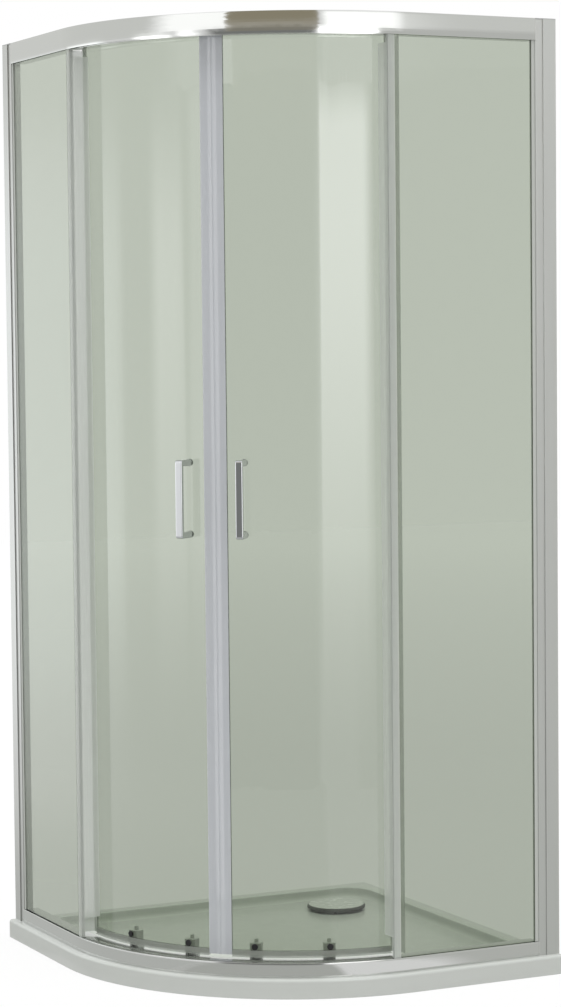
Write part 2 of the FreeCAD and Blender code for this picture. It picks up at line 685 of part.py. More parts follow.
def makePost(side, hand):
    """Slides in the wall profile to take up a wall that isn't true, and holds the glass."""
    body = wallBody(f"adjusting_post_{side}", hand, "trayHeight")
    backNear = f"({pocketEnd} - postWall)"
    webOffset = f"({pocketFar} + postWall)"
    innerFar = f"({postFar} - postWall)"
    prism(body, "postSection", across(hand, [
        ("postStart", postNear), ("postReach", postNear), ("postReach", pocketNear), (pocketEnd, pocketNear),
        (pocketEnd, pocketFar), ("postReach", pocketFar), ("postReach", postFar), ("postStart", postFar),
        ("postStart", innerFar), ("postReach - postWall", innerFar), ("postReach - postWall", webOffset),
        (backNear, webOffset), (backNear, pocketNear), ("postStart", pocketNear)]),
        "0", profileHigh)
    hole = sideways(body, "screwHole", hand, [
        (innerFar, "0"), (innerFar, "profileScrew + screwFit"), (postFar, "profileScrew + screwFit"),
        (postFar, "0")], "profileScrewReach", "profileScrewEnd", cut=True)
    repeatScrews(body, hole)
    for name, height in railMiddles.items():
        lengthways(body, f"{name}EndHole", hand, [
            ("postReach - postWall", "0"), ("postReach - postWall", "endScrew + screwHoleGap"),
            ("postReach", "endScrew + screwHoleGap"), ("postReach", "0")], height, cut=True)
    return body


railMiddles = {"bottom": "(bottomRailHeight / 2)", "top": f"({topRailLow} + topRailHeight / 2 - trayHeight)"}


def makeCap(side, hand):
    body = wallBody(f"profile_cap_{side}", hand, profileTop)
    prism(body, "capPlate", across(hand, box("0", "postReach", "railSetback", profileFar)), "0", "capThick")
    near, far = "(railSetback + profileWall + slideGap)", f"({profileFar} - profileWall - slideGap)"
    prism(body, "capPlug", across(hand, box("profileWall + slideGap", "postStart - slideGap", near, far)),
          "-capPlug", "0")
    return body


def makeProfileScrews(side, hand):
    body = wallBody(f"clamp_screws_{side}", hand, "trayHeight")
    seat = f"({profileFar} + seatGap)"
    screw = sideways(body, "clampScrew", hand, [
        (f"{seat} - profileScrewLength", "0"), (f"{seat} - profileScrewLength", "profileScrew"),
        (seat, "profileScrew"), (seat, "profileScrewHead"), (f"{seat} + profileHeadThick", "profileScrewHead"),
        (f"{seat} + profileHeadThick", "0")], "profileScrewReach", "profileScrewEnd")
    repeatScrews(body, screw)
    return body


def makeGasket(side, hand):
    body = wallBody(f"glazing_gasket_{side}", hand, f"{bottomRailTop} + railGap")
    outNear = f"({fixedNear} - gasketGap)"
    outFar = f"({fixedFar} + gasketGap)"
    back = f"({pocketEnd} + gasketGap)"
    show = "(postReach + gasketShow)"
    prism(body, "gasketSection", across(hand, [
        (back, f"{outNear} - gasketWall"), (show, f"{outNear} - gasketWall"), (show, outNear),
        (f"{back} + gasketWall", outNear), (f"{back} + gasketWall", outFar), (show, outFar),
        (show, f"{outFar} + gasketWall"), (back, f"{outFar} + gasketWall")]),
        "0", f"{topRailLow} - {bottomRailTop} - 2 * railGap")
    return body


def makeFixedGlass(side, hand):
    low = "(trayHeight + slotFloor + glassSeat)"
    body = wallBody(f"fixed_glass_{side}", hand, low)
    back = f"({pocketEnd} + 2 * gasketGap + gasketWall)"
    prism(body, "fixedPane", across(hand, box(back, fixedGlassReach, fixedNear, fixedFar)),
          "0", f"{topRailLow} + glassEntry - {low}")
    return body


def makeFixedSeal(side, hand):
    """Clips on the fixed pane's free edge, with a fin that reaches to the door glass."""
    body = wallBody(f"fixed_edge_seal_{side}", hand, f"{bottomRailTop} + railGap")
    edge = f"({fixedGlassReach} + sealGap)"
    near, far = f"({fixedNear} - sealGap)", f"({fixedFar} + sealGap)"
    tip = f"({edge} + sealWall)"
    start = f"({fixedGlassReach} - fixedClip)"
    high = f"({topRailLow} - {bottomRailTop} - 2 * railGap)"
    prism(body, "clipSection", across(hand, [
        (start, f"{near} - sealWall"), (tip, f"{near} - sealWall"), (tip, f"{far} + sealWall"),
        (start, f"{far} + sealWall"), (start, far), (edge, far), (edge, near), (start, near)]), "0", high)
    finReach = f"({tip} - {wallRun})"
    finEnd = f"(trayRadius - sqrt(({doorOuter} + finGap)^2 - {finReach}^2))"
    prism(body, "finSection", across(hand, box(f"{tip} - finThick", tip, f"{far} + sealWall", finEnd)),
          "finBottom", f"{high} - finTop")
    return body


def makeEndBlock(side, hand, name, height):
    """Closes a rail's end and takes the screw that comes through the post."""
    body = wallBody(f"end_block_{name}_{side}", hand, "trayHeight")
    middle = railMiddles[name]
    low = f"({middle} - {height} / 2 + railWall + endBlockGap)"
    high = f"({middle} + {height} / 2 - railWall - endBlockGap)"
    start = "(postReach + railButt)"
    prism(body, "blockSection", across(hand, box(
        start, f"{start} + endBlockLength", f"{channelBack} + endBlockGap", f"{lipNear} - endBlockGap")), low, high)
    lengthways(body, "screwHole", hand, [
        (start, "0"), (start, "endScrew + screwFit"), (f"{start} + endScrewBite + cutPast", "endScrew + screwFit"),
        (f"{start} + endScrewBite + cutPast", "0")], middle, cut=True)
    return body


def makeEndScrew(side, hand, name):
    body = wallBody(f"end_screw_{name}_{side}", hand, "trayHeight")
    seat = "(postReach - postWall - seatGap)"
    lengthways(body, "endScrewShape", hand, [
        (f"{seat} - endHeadThick", "0"), (f"{seat} - endHeadThick", "endScrewHead"), (seat, "endScrewHead"),
        (seat, "endScrew"), ("postReach + railButt + endScrewBite", "endScrew"),
        ("postReach + railButt + endScrewBite", "0")], railMiddles[name])
    return body


def makeStop(side, hand):
    """Rubber block in the top rail that the door's trailing wheel meets."""
    body = wallBody(f"door_stop_{side}", hand, f"{topRailLow} + railWall + seatGap")
    overrun = f"({alongDoor('rollerTrail + doorTravel')} - 45)"
    track = f"({wheelOuter} - wheelWidth / 2)"
    face = f"({wallRun} - {track} * sin({overrun} * 1deg) - topWheel - stopGap)"
    prism(body, "stopSection", across(hand, box(
        f"{face} - stopLength", face, f"{channelBack} + endBlockGap", f"{lipNear} - endBlockGap")), "0", "stopHeight")
    return body


# ---- doors ------------------------------------------------------------------------


def doorAngle(hand, length):
    """Angle about the quadrant's centre of a place along one door."""
    return f"({middleAngle} - {hand} * {alongDoor(length)})"


def offMiddle(hand, length):
    return f"(-{hand} * {alongDoor(length)})"


def makeDoorGlass(side, hand):
    body = arcBody(f"door_glass_{side}")
    ring(body, "pane", doorInner, doorOuter, alongDoor("doorStart"), alongDoor(doorEnd), doorLow, doorTop, hand)
    holes = [("handleInset", f"handleHeight + {sign} * {handleScrewSpan} / 2", "handleHole") for sign in (1, -1)]
    for place in ("rollerLead", "rollerTrail"):
        holes.append((place, topWheelHeight, "hangerHole"))
        holes.append((place, housingScrewHeight, "housingScrew + screwHoleGap"))
    for number, (place, height, radius) in enumerate(holes):
        start, end = f"{doorInner} - cutPast", f"{doorOuter} + cutPast"
        turned(body, f"hole{number}", [(start, "0"), (start, radius), (end, radius), (end, "0")],
               height, offMiddle(hand, place), cut=True)
    return body


handleScrewSpan = "(handleLength - handleLeg)"
clipInner = f"({doorInner} - sealGap)"
clipOuter = f"({doorOuter} + sealGap)"


def clipLegs(body, start, end, low, high, hand):
    """The two walls of a seal's clip, one each side of the door glass."""
    for name, inner, outer in (("innerLeg", f"{clipInner} - sealWall", clipInner),
                               ("outerLeg", clipOuter, f"{clipOuter} + sealWall")):
        ring(body, name, inner, outer, start, end, low, high, hand)


def makeMagneticSeal(side, hand):
    body = arcBody(f"magnetic_seal_{side}")
    start, edge = alongDoor("meetingGap"), alongDoor("doorStart - sealGap")
    ring(body, "magnetBar", f"{clipInner} - sealWall", f"{clipOuter} + sealWall", start, edge, doorLow, doorTop, hand)
    clipLegs(body, edge, alongDoor("doorStart + magnetClip"), doorLow, doorTop, hand)
    return body


def makeTrailingSeal(side, hand):
    """Clips on the door's trailing edge, with a fin that reaches to the fixed pane."""
    body = arcBody(f"trailing_seal_{side}")
    edge = alongDoor(f"{doorEnd} + sealGap")
    tip = alongDoor(f"{doorEnd} + sealGap + sealWall")
    ring(body, "clipBack", f"{clipInner} - sealWall", f"{clipOuter} + sealWall", edge, tip, doorLow, doorTop, hand)
    clipLegs(body, alongDoor(f"{doorEnd} - trailingClip"), edge, doorLow, doorTop, hand)
    ring(body, "fin", f"{clipOuter} + sealWall", f"trayRadius - {fixedFar} - finGap",
         alongDoor(f"{doorEnd} + sealGap + sealWall - finThick"), tip,
         doorLow, f"{topRailLow} - cutPast", hand)
    return body


def makeBottomSeal(side, hand):
    body = arcBody(f"bottom_seal_{side}")
    start = alongDoor("doorStart + magnetClip + sealEndGap")
    end = alongDoor(f"{doorEnd} - trailingClip - sealEndGap")
    low = f"({doorLow} - dripBase)"
    base = f"({doorLow} - sealGap)"
    ring(body, "base", f"{clipInner} - sealWall", f"{clipOuter} + sealWall", start, end, low, base, hand)
    clipLegs(body, start, end, base, f"{doorLow} + dripLeg", hand)
    ring(body, "lip", f"{clipOuter} + sealWall", f"{clipOuter} + sealWall + dripLip", start, end,
         low, f"{low} + finThick", hand)
    return body


handleStart = f"({doorOuter} + washerGap + washerThick + seatGap)"
handleFront = f"({doorOuter} + handleProud)"


def makeHandle(side, hand):
    body = arcBody(f"handle_{side}", doorAngle(hand, "handleInset"), "handleHeight")
    sketch = newSketch(body, "handleSide", "XZ_Plane")
    end, gap = "(handleLength / 2)", "(handleLength / 2 - handleLeg)"
    back = f"({handleFront} - handleGrip)"
    drawPolygon(sketch, [
        (handleStart, f"-{end}"), (handleFront, f"-{end}"), (handleFront, end), (handleStart, end),
        (handleStart, gap), (back, gap), (back, f"-{gap}"), (handleStart, f"-{gap}")])
    pad = body.newObject("PartDesign::Pad", "handlePad")
    pad.Profile = sketch
    pad.Midplane = True
    bind(pad, "Length", "handleWidth")
    front, tall = value(handleFront), value(end)

    def isFrontCorner(edge):
        middle = edge.CenterOfMass
        return edge.BoundBox.YLength > 1 and abs(middle.x - front) < 1e-3 and abs(abs(middle.z) - tall) < 1e-3

    roundEdges(body, "handleCorners", "handleCorner", isFrontCorner)
    start = value(handleStart)
    roundEdges(body, "handleEdges", "handleEdge",
               lambda edge: edge.BoundBox.YLength < 1e-3 and edge.BoundBox.DiagonalLength > 1
               and edge.BoundBox.XMax > start + 1)
    bite = f"({handleStart} + handleScrewBite + cutPast)"
    radius = "(handleScrew + screwFit)"
    for number, sign in enumerate((1, -1)):
        turned(body, f"screwHole{number}", [
            (handleStart, "0"), (handleStart, radius), (bite, radius), (bite, "0")],
            f"{sign} * {handleScrewSpan} / 2", cut=True)
    return body


washerSeat = f"({doorInner} - washerGap - washerThick)"


def makeHandleWashers(side, hand):
    body = arcBody(f"handle_washers_{side}", doorAngle(hand, "handleInset"), f"handleHeight - {handleScrewSpan} / 2")
    bore = "(handleScrew + screwHoleGap)"
    discs = []
    for name, start in (("outerWasher", f"({doorOuter} + washerGap)"), ("innerWasher", washerSeat)):
        end = f"({start} + washerThick)"
        discs.append(turned(body, name, [
            (start, bore), (start, "washerRadius"), (end, "washerRadius"), (end, bore)]))
    repeat(body, "LinearPattern", discs, "Z_Axis", "Length", handleScrewSpan, 2)
    return body


def makeHandleScrews(side, hand):
    body = arcBody(f"handle_screws_{side}", doorAngle(hand, "handleInset"), f"handleHeight - {handleScrewSpan} / 2")
    seat = f"({washerSeat} - seatGap)"
    tip = f"({handleStart} + handleScrewBite)"
    screw = turned(body, "handleScrewShape", [
        (f"{seat} - handleHeadThick", "0"), (f"{seat} - handleHeadThick", "handleScrewHead - handleHeadEdge"),
        (f"{seat} - handleHeadThick + handleHeadEdge", "handleScrewHead"), (seat, "handleScrewHead"),
        (seat, "handleScrew"), (tip, "handleScrew"), (tip, "0")])
    repeat(body, "LinearPattern", [screw], "Z_Axis", "Length", handleScrewSpan, 2)
    return body


# ---- rollers ----------------------------------------------------------------------

rollerPlaces = {"lead": "rollerLead", "trail": "rollerTrail"}
rollerSpread = alongDoor("rollerTrail - rollerLead")


def axleEnd(axle):
    """Outline of the last stretch of an axle: shoulder, seat for the wheel, head."""
    shoulder = f"({wheelInner} - wheelPlay)"
    head = f"({wheelOuter} + wheelPlay)"
    return [(f"{shoulder} - shoulderLength", f"{axle} + axleHeadStep"), (shoulder, f"{axle} + axleHeadStep"),
            (shoulder, axle), (head, axle), (head, f"{axle} + axleHeadStep"),
            (f"{head} + axleHead", f"{axle} + axleHeadStep"), (f"{head} + axleHead", "0")]


def makeHangers(side, hand):
    """Stems that carry the top wheels, one through each upper hole of the door glass."""
    body = arcBody(f"roller_hangers_{side}", doorAngle(hand, "rollerLead"), topWheelHeight)
    face = f"({doorOuter} + glassFaceGap)"
    tail = f"({doorInner} - capNutThick + hangerTail)"
    flangeEnd = f"({face} + hangerFlangeThick)"
    bushStart = f"({doorInner} + glassFaceGap)"
    stem = turned(body, "hangerShape", [
        (tail, "0"), (tail, "hangerStem"), (bushStart, "hangerStem"), (bushStart, "hangerBush"),
        (face, "hangerBush"), (face, "hangerFlange"), (flangeEnd, "hangerFlange"), (flangeEnd, "hangerStem"),
        (f"{wheelInner} - wheelPlay - shoulderLength", "hangerStem")] + axleEnd("topAxle"))
    repeat(body, "PolarPattern", [stem], "Z_Axis", "Angle", rollerSpread, 2, flip=hand > 0)
    return body


def makeCapNuts(side, hand):
    body = arcBody(f"roller_cap_nuts_{side}", doorAngle(hand, "rollerLead"), topWheelHeight)
    face = f"({doorInner} - glassFaceGap)"
    back = f"({doorInner} - capNutThick)"
    bore, floor = "(hangerStem + hangerFit)", f"({doorInner} - capNutThick + capNutFloor)"
    nut = turned(body, "capNutShape", [
        (back, "0"), (back, "capNutRadius - capNutEdge"), (f"{back} + capNutEdge", "capNutRadius"),
        (face, "capNutRadius"), (face, bore), (floor, bore), (floor, "0")])
    repeat(body, "PolarPattern", [nut], "Z_Axis", "Angle", rollerSpread, 2, flip=hand > 0)
    return body


def makeWheel(name, hand, place, height, radius, axle):
    body = arcBody(name, doorAngle(hand, place), height)
    bore = f"({axle} + wheelFit)"
    turned(body, "wheelShape", [
        (wheelInner, bore), (wheelInner, f"{radius} - wheelEdge"), (f"{wheelInner} + wheelEdge", radius),
        (f"{wheelOuter} - wheelEdge", radius), (wheelOuter, f"{radius} - wheelEdge"), (wheelOuter, bore)])
    return body


def makeHousings(side, hand):
    """Housings of the lower rollers, each with a bore for its button and spring."""
    body = arcBody(f"roller_housings_{side}", doorAngle(hand, "rollerLead"), "trayHeight")
    wide, narrow = "(housingWidth / 2)", "(blockHalf + buttonFit)"
    ledge = "ledgeLow + ledgeThick"
    prism(body, "shell", box(housingInner, housingOuter, f"-{wide}", wide), "housingLow", "housingTop")
    inner = value(housingInner)
    roundEdges(body, "shellEdges", "housingEdge",
               lambda edge: isUpright(edge) and abs(edge.CenterOfMass.x - inner) < 1e-3)
    padFace = f"({doorInner} - glassFaceGap)"
    prism(body, "pad", box(f"{housingOuter} - cutPast", padFace, f"-{wide} + padInset", f"{wide} - padInset"),
          "housingTop - housingPad", "housingTop")
    rod(body, "throat", buttonCentre, "0", "buttonRadius + buttonFit", "ledgeLow", "housingTop", cut=True)
    rod(body, "springBore", buttonCentre, "0", "springBore", ledge, "housingTop - boreRoof", cut=True)
    guideBack = f"({buttonCentre} - blockHalf - buttonFit)"
    prism(body, "guide", box(guideBack, f"{housingOuter} + cutPast", f"-{narrow}", narrow),
          "housingLow", "ledgeLow", cut=True)
    hole = f"({padFace} - housingScrewBite - cutPast)"
    turned(body, "screwHole", [
        (hole, "0"), (hole, "housingScrew + screwFit"), (padFace, "housingScrew + screwFit"), (padFace, "0")],
        "housingTop - housingPad / 2", cut=True)
    pattern = repeat(body, "PolarPattern", [], "Z_Axis", "Angle", rollerSpread, 2, flip=hand > 0)
    pattern.TransformMode = "Whole shape"
    doc.recompute()
    return body


def makeHousingScrews(side, hand):
    body = arcBody(f"housing_screws_{side}", doorAngle(hand, "rollerLead"), housingScrewHeight)
    face = f"({doorOuter} + glassFaceGap)"
    tip = f"({doorInner} - glassFaceGap - housingScrewBite)"
    screw = turned(body, "housingScrewShape", [
        (tip, "0"), (tip, "housingScrew"), (face, "housingScrew"), (face, "housingScrewHead"),
        (f"{face} + housingHeadThick - housingHeadEdge", "housingScrewHead"),
        (f"{face} + housingHeadThick", "housingScrewHead - housingHeadEdge"), (f"{face} + housingHeadThick", "0")])
    repeat(body, "PolarPattern", [screw], "Z_Axis", "Angle", rollerSpread, 2, flip=hand > 0)
    return body


def makeButton(name, hand, place):
    """Release button, with the block that carries the lower wheel's axle."""
    body = arcBody(name, doorAngle(hand, place), "trayHeight")
    blockTop = "(ledgeLow - buttonFit)"
    blockBack, blockFront = f"({buttonCentre} - blockHalf)", f"({buttonCentre} + blockHalf)"
    prism(body, "axleBlock", box(blockBack, blockFront, "-blockHalf", "blockHalf"), "blockLow", blockTop)
    rod(body, "stem", buttonCentre, "0", "buttonRadius", f"{blockTop} - cutPast", "housingTop + buttonProud")
    rod(body, "collar", buttonCentre, "0", "collarRadius", "collarLow", "collarLow + collarThick")
    turned(body, "axleShape", [
        (f"{blockFront} - cutPast", "0"), (f"{blockFront} - cutPast", "lowerStem"),
        (f"{wheelInner} - wheelPlay - shoulderLength", "lowerStem")] + axleEnd("bottomAxle"),
        f"{bottomWheelHeight} - trayHeight")
    return body


def makeSpring(label, hand, place):
    """Coil spring under a button's collar, swept along quarter-turn arcs."""
    low = value("ledgeLow + ledgeThick + springEnd + springWire")
    high = value("collarLow - springEnd - springWire")
    radius, wire, turns = value("springRadius"), value("springWire"), int(round(value("springTurns")))
    quarters = 4 * turns

    def onCoil(quarter):
        turn = FreeCAD.Rotation(upright, 90 * quarter)
        return turn.multVec(vector(radius, 0, 0)) + vector(0, 0, low + (high - low) * quarter / quarters)

    arcs = [Part.Arc(onCoil(n), onCoil(n + 0.5), onCoil(n + 1)).toShape() for n in range(quarters)]
    start = arcs[0]
    section = Part.Wire(Part.makeCircle(wire, onCoil(0), start.tangentAt(start.FirstParameter)))
    feature = doc.addObject("Part::Feature", label)
    feature.Shape = Part.Wire(arcs).makePipeShell([section], True, False)
    angle = value(doorAngle(hand, place))
    frame = FreeCAD.Placement(vector(value(arcCentre), value(arcCentre), value("trayHeight")),
                              FreeCAD.Rotation(upright, angle))
    feature.Placement = frame.multiply(FreeCAD.Placement(vector(value(buttonCentre), 0, 0), FreeCAD.Rotation()))
    return feature


def group(label, members):
    compound = doc.addObject("Part::Compound", label)
    compound.Links = members
    return compound


# ---- assembly ---------------------------------------------------------------------

nodes = [makeTray(), makeWasteFlange(), makeWasteCup(), makeWasteCover(),
         makeBottomRail(), makeTopRail(), makeInfill()]
caps, clampScrews, endBlocks, endScrews, stops = [], [], [], [], []
for side, hand in handSigns.items():
    nodes += [makeWallProfile(side, hand), makePost(side, hand), makeGasket(side, hand),
              makeFixedGlass(side, hand), makeFixedSeal(side, hand)]
    caps.append(makeCap(side, hand))
    clampScrews.append(makeProfileScrews(side, hand))
    stops.append(makeStop(side, hand))
    for name, height in (("bottom", "bottomRailHeight"), ("top", "topRailHeight")):
        endBlocks.append(makeEndBlock(side, hand, name, height))
        endScrews.append(makeEndScrew(side, hand, name))
    nodes += [makeDoorGlass(side, hand), makeMagneticSeal(side, hand), makeTrailingSeal(side, hand),
              makeBottomSeal(side, hand), makeHandle(side, hand), makeHandleWashers(side, hand),
              makeHandleScrews(side, hand), makeHangers(side, hand), makeCapNuts(side, hand),
              makeHousings(side, hand), makeHousingScrews(side, hand)]
    for spot, place in rollerPlaces.items():
        nodes += [makeWheel(f"top_wheel_{side}_{spot}", hand, place, topWheelHeight, "topWheel", "topAxle"),
                  makeWheel(f"bottom_wheel_{side}_{spot}", hand, place, bottomWheelHeight,
                            "bottomWheel", "bottomAxle"),
                  makeButton(f"release_button_{side}_{spot}", hand, place),
                  makeSpring(f"release_spring_{side}_{spot}", hand, place)]
nodes += [group("profile_caps", caps), group("profile_clamp_screws", clampScrews),
          group("rail_end_blocks", endBlocks), group("rail_end_screws", endScrews),
          group("door_stops", stops)]
doc.recompute()

for item in doc.Objects:
    if "Invalid" in item.State or "Error" in item.State:
        raise ValueError(f"{item.Label} failed: {item.State}")

os.makedirs("parts", exist_ok=True)
for node in nodes:
    shape = node.Shape
    if shape.isNull() or not shape.isValid() or not shape.Solids:
        raise ValueError(f"{node.Label} has no valid solid")
    shape.exportStep(f"parts/{node.Label}.step")
    print(node.Label, len(shape.Solids), round(shape.Volume))
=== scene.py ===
import json
import math
import bmesh
import bpy
from mathutils import Matrix, Vector


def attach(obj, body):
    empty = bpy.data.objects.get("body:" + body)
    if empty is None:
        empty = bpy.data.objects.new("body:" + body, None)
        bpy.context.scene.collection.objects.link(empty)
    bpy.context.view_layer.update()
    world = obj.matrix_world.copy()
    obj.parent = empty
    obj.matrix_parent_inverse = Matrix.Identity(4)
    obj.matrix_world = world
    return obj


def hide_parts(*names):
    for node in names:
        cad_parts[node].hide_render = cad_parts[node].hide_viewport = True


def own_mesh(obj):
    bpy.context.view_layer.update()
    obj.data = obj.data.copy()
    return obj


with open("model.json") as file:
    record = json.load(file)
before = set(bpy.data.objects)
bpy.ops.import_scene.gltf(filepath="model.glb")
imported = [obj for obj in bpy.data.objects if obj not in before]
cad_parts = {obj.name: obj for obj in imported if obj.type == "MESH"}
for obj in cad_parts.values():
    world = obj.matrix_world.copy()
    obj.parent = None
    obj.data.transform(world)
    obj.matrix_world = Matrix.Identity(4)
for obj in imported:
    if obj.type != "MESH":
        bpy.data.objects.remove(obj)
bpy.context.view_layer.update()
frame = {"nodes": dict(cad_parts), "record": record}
nodes = frame["nodes"]
mm = 0.001
curveCentre = 0.1  # x and y of the middle of the curved front, in metres
print("frame loaded:", len(nodes), "nodes")


def linear(hexText):
    # sRGB hex to linear RGBA
    values = [int(hexText[i:i + 2], 16) / 255 for i in (1, 3, 5)]
    return [v / 12.92 if v <= 0.04045 else ((v + 0.055) / 1.055) ** 2.4 for v in values] + [1.0]


def addNode(tree, kind, inputs=None, **settings):
    node = tree.nodes.new(kind)
    for name, value in settings.items():
        setattr(node, name, value)
    for socket, value in (inputs or {}).items():
        if isinstance(value, bpy.types.NodeSocket):
            tree.links.new(value, node.inputs[socket])
        else:
            node.inputs[socket].default_value = value
    return node


# a long lens 1.3 m above the floor, left of the middle of the curved front; angles in degrees
camera = {"place": (-2.6047, -5.4255, 1.3380), "yaw": 25.81, "pitch": -3.38, "roll": -0.57,
          "lens": 100.06, "sensor": 36.0, "near": 0.1, "far": 60}


def makeCamera():
    data = bpy.data.cameras.new("camera")
    data.lens, data.sensor_width, data.sensor_fit = camera["lens"], camera["sensor"], "AUTO"
    data.clip_start, data.clip_end = camera["near"], camera["far"]
    obj = bpy.data.objects.new("camera", data)
    bpy.context.scene.collection.objects.link(obj)
    yaw, pitch, roll = (math.radians(camera[name]) for name in ("yaw", "pitch", "roll"))
    forward = Vector((math.sin(yaw) * math.cos(pitch), math.cos(yaw) * math.cos(pitch), math.sin(pitch)))
    right = Vector((math.cos(yaw), -math.sin(yaw), 0))
    up = right.cross(forward)
    across = right * math.cos(roll) + up * math.sin(roll)
    upward = up * math.cos(roll) - right * math.sin(roll)
    turn = Matrix((across, upward, -forward)).transposed().to_4x4()
    obj.matrix_world = Matrix.Translation(camera["place"]) @ turn
    bpy.context.scene.camera = obj


# ambient: what lights matt surfaces; the sun is a wide soft lamp overhead, turned a little to the front left.
# floorColour counts for the light that the paper throws back; what the eye sees of it is floorGlow
# plus floorShown under its share of shadow; through glass near the object the glow is a little lower, a painted
# shade.
studio = {"ambient": 0.6, "floorSize": 24.0, "floorColour": "#D6D6D4", "floorGlow": 0.82, "floorShown": "#767676",
          "throughGlass": {"near": 3.0, "far": 12.0, "level": 0.79},
          "sunPower": 1.55, "sunAngle": 60.0, "sunTurn": (13.0, -4.0, 0.0)}


def showsBackground(tree):
    # 1 for camera, glossy and transmission rays, so that metal and glass show the same white
    path = addNode(tree, "ShaderNodeLightPath")
    first = addNode(tree, "ShaderNodeMath", {0: path.outputs["Is Camera Ray"], 1: path.outputs["Is Glossy Ray"]},
                    operation="MAXIMUM")
    return addNode(tree, "ShaderNodeMath", {0: first.outputs[0], 1: path.outputs["Is Transmission Ray"]},
                   operation="MAXIMUM").outputs[0]


def makeWorld():
    world = bpy.data.worlds.new("whiteStudio")
    bpy.context.scene.world = world
    world.use_nodes = True
    tree = world.node_tree
    tree.nodes.clear()
    soft = addNode(tree, "ShaderNodeBackground", {"Color": linear("#FFFFFF"), "Strength": studio["ambient"]})
    white = addNode(tree, "ShaderNodeBackground", {"Color": linear("#FFFFFF"), "Strength": 1.0})
    mix = addNode(tree, "ShaderNodeMixShader",
                  {0: showsBackground(tree), 1: soft.outputs[0], 2: white.outputs[0]})
    addNode(tree, "ShaderNodeOutputWorld", {"Surface": mix.outputs[0]})


def makeFloor():
    half = studio["floorSize"] / 2
    mesh = bpy.data.meshes.new("studioFloor")
    mesh.from_pydata([(-half, -half, 0), (half, -half, 0), (half, half, 0), (-half, half, 0)], [], [(0, 1, 2, 3)])
    floor = bpy.data.objects.new("studioFloor", mesh)
    bpy.context.scene.collection.objects.link(floor)
    material = bpy.data.materials.new("paleStudioPaper")
    material.use_nodes = True
    tree = material.node_tree
    tree.nodes.clear()
    paper = addNode(tree, "ShaderNodeBsdfDiffuse", {"Color": linear(studio["floorColour"])})
    shown = addNode(tree, "ShaderNodeBsdfDiffuse", {"Color": linear(studio["floorShown"])})
    # painted shade: seen through glass, the floor's glow is lower near the object and rises to full glow further out
    paintedShadeNearObject = studio["throughGlass"]
    reach = addNode(tree, "ShaderNodeVectorMath", {0: addNode(tree, "ShaderNodeTexCoord").outputs["Object"]},
                    operation="LENGTH")
    level = addNode(tree, "ShaderNodeMapRange", {
        "Value": reach.outputs["Value"], "From Min": paintedShadeNearObject["near"], "From Max": paintedShadeNearObject["far"],
        "To Min": paintedShadeNearObject["level"] * studio["floorGlow"], "To Max": studio["floorGlow"]})
    bent = addNode(tree, "ShaderNodeLightPath").outputs["Is Transmission Ray"]
    strength = addNode(tree, "ShaderNodeMix", {0: bent, 2: studio["floorGlow"], 3: level.outputs[0]})
    glow = addNode(tree, "ShaderNodeEmission", {"Color": linear("#FFFFFF"), "Strength": strength.outputs[0]})
    lit = addNode(tree, "ShaderNodeAddShader", {0: shown.outputs[0], 1: glow.outputs[0]})
    mix = addNode(tree, "ShaderNodeMixShader", {0: showsBackground(tree), 1: paper.outputs[0], 2: lit.outputs[0]})
    addNode(tree, "ShaderNodeOutputMaterial", {"Surface": mix.outputs[0]})
    mesh.materials.append(material)


def makeSun():
    data = bpy.data.lights.new("softSun", "SUN")
    data.energy, data.angle = studio["sunPower"], math.radians(studio["sunAngle"])
    light = bpy.data.objects.new("softSun", data)
    bpy.context.scene.collection.objects.link(light)
    light.rotation_euler = [math.radians(turn) for turn in studio["sunTurn"]]
    light.visible_glossy = False


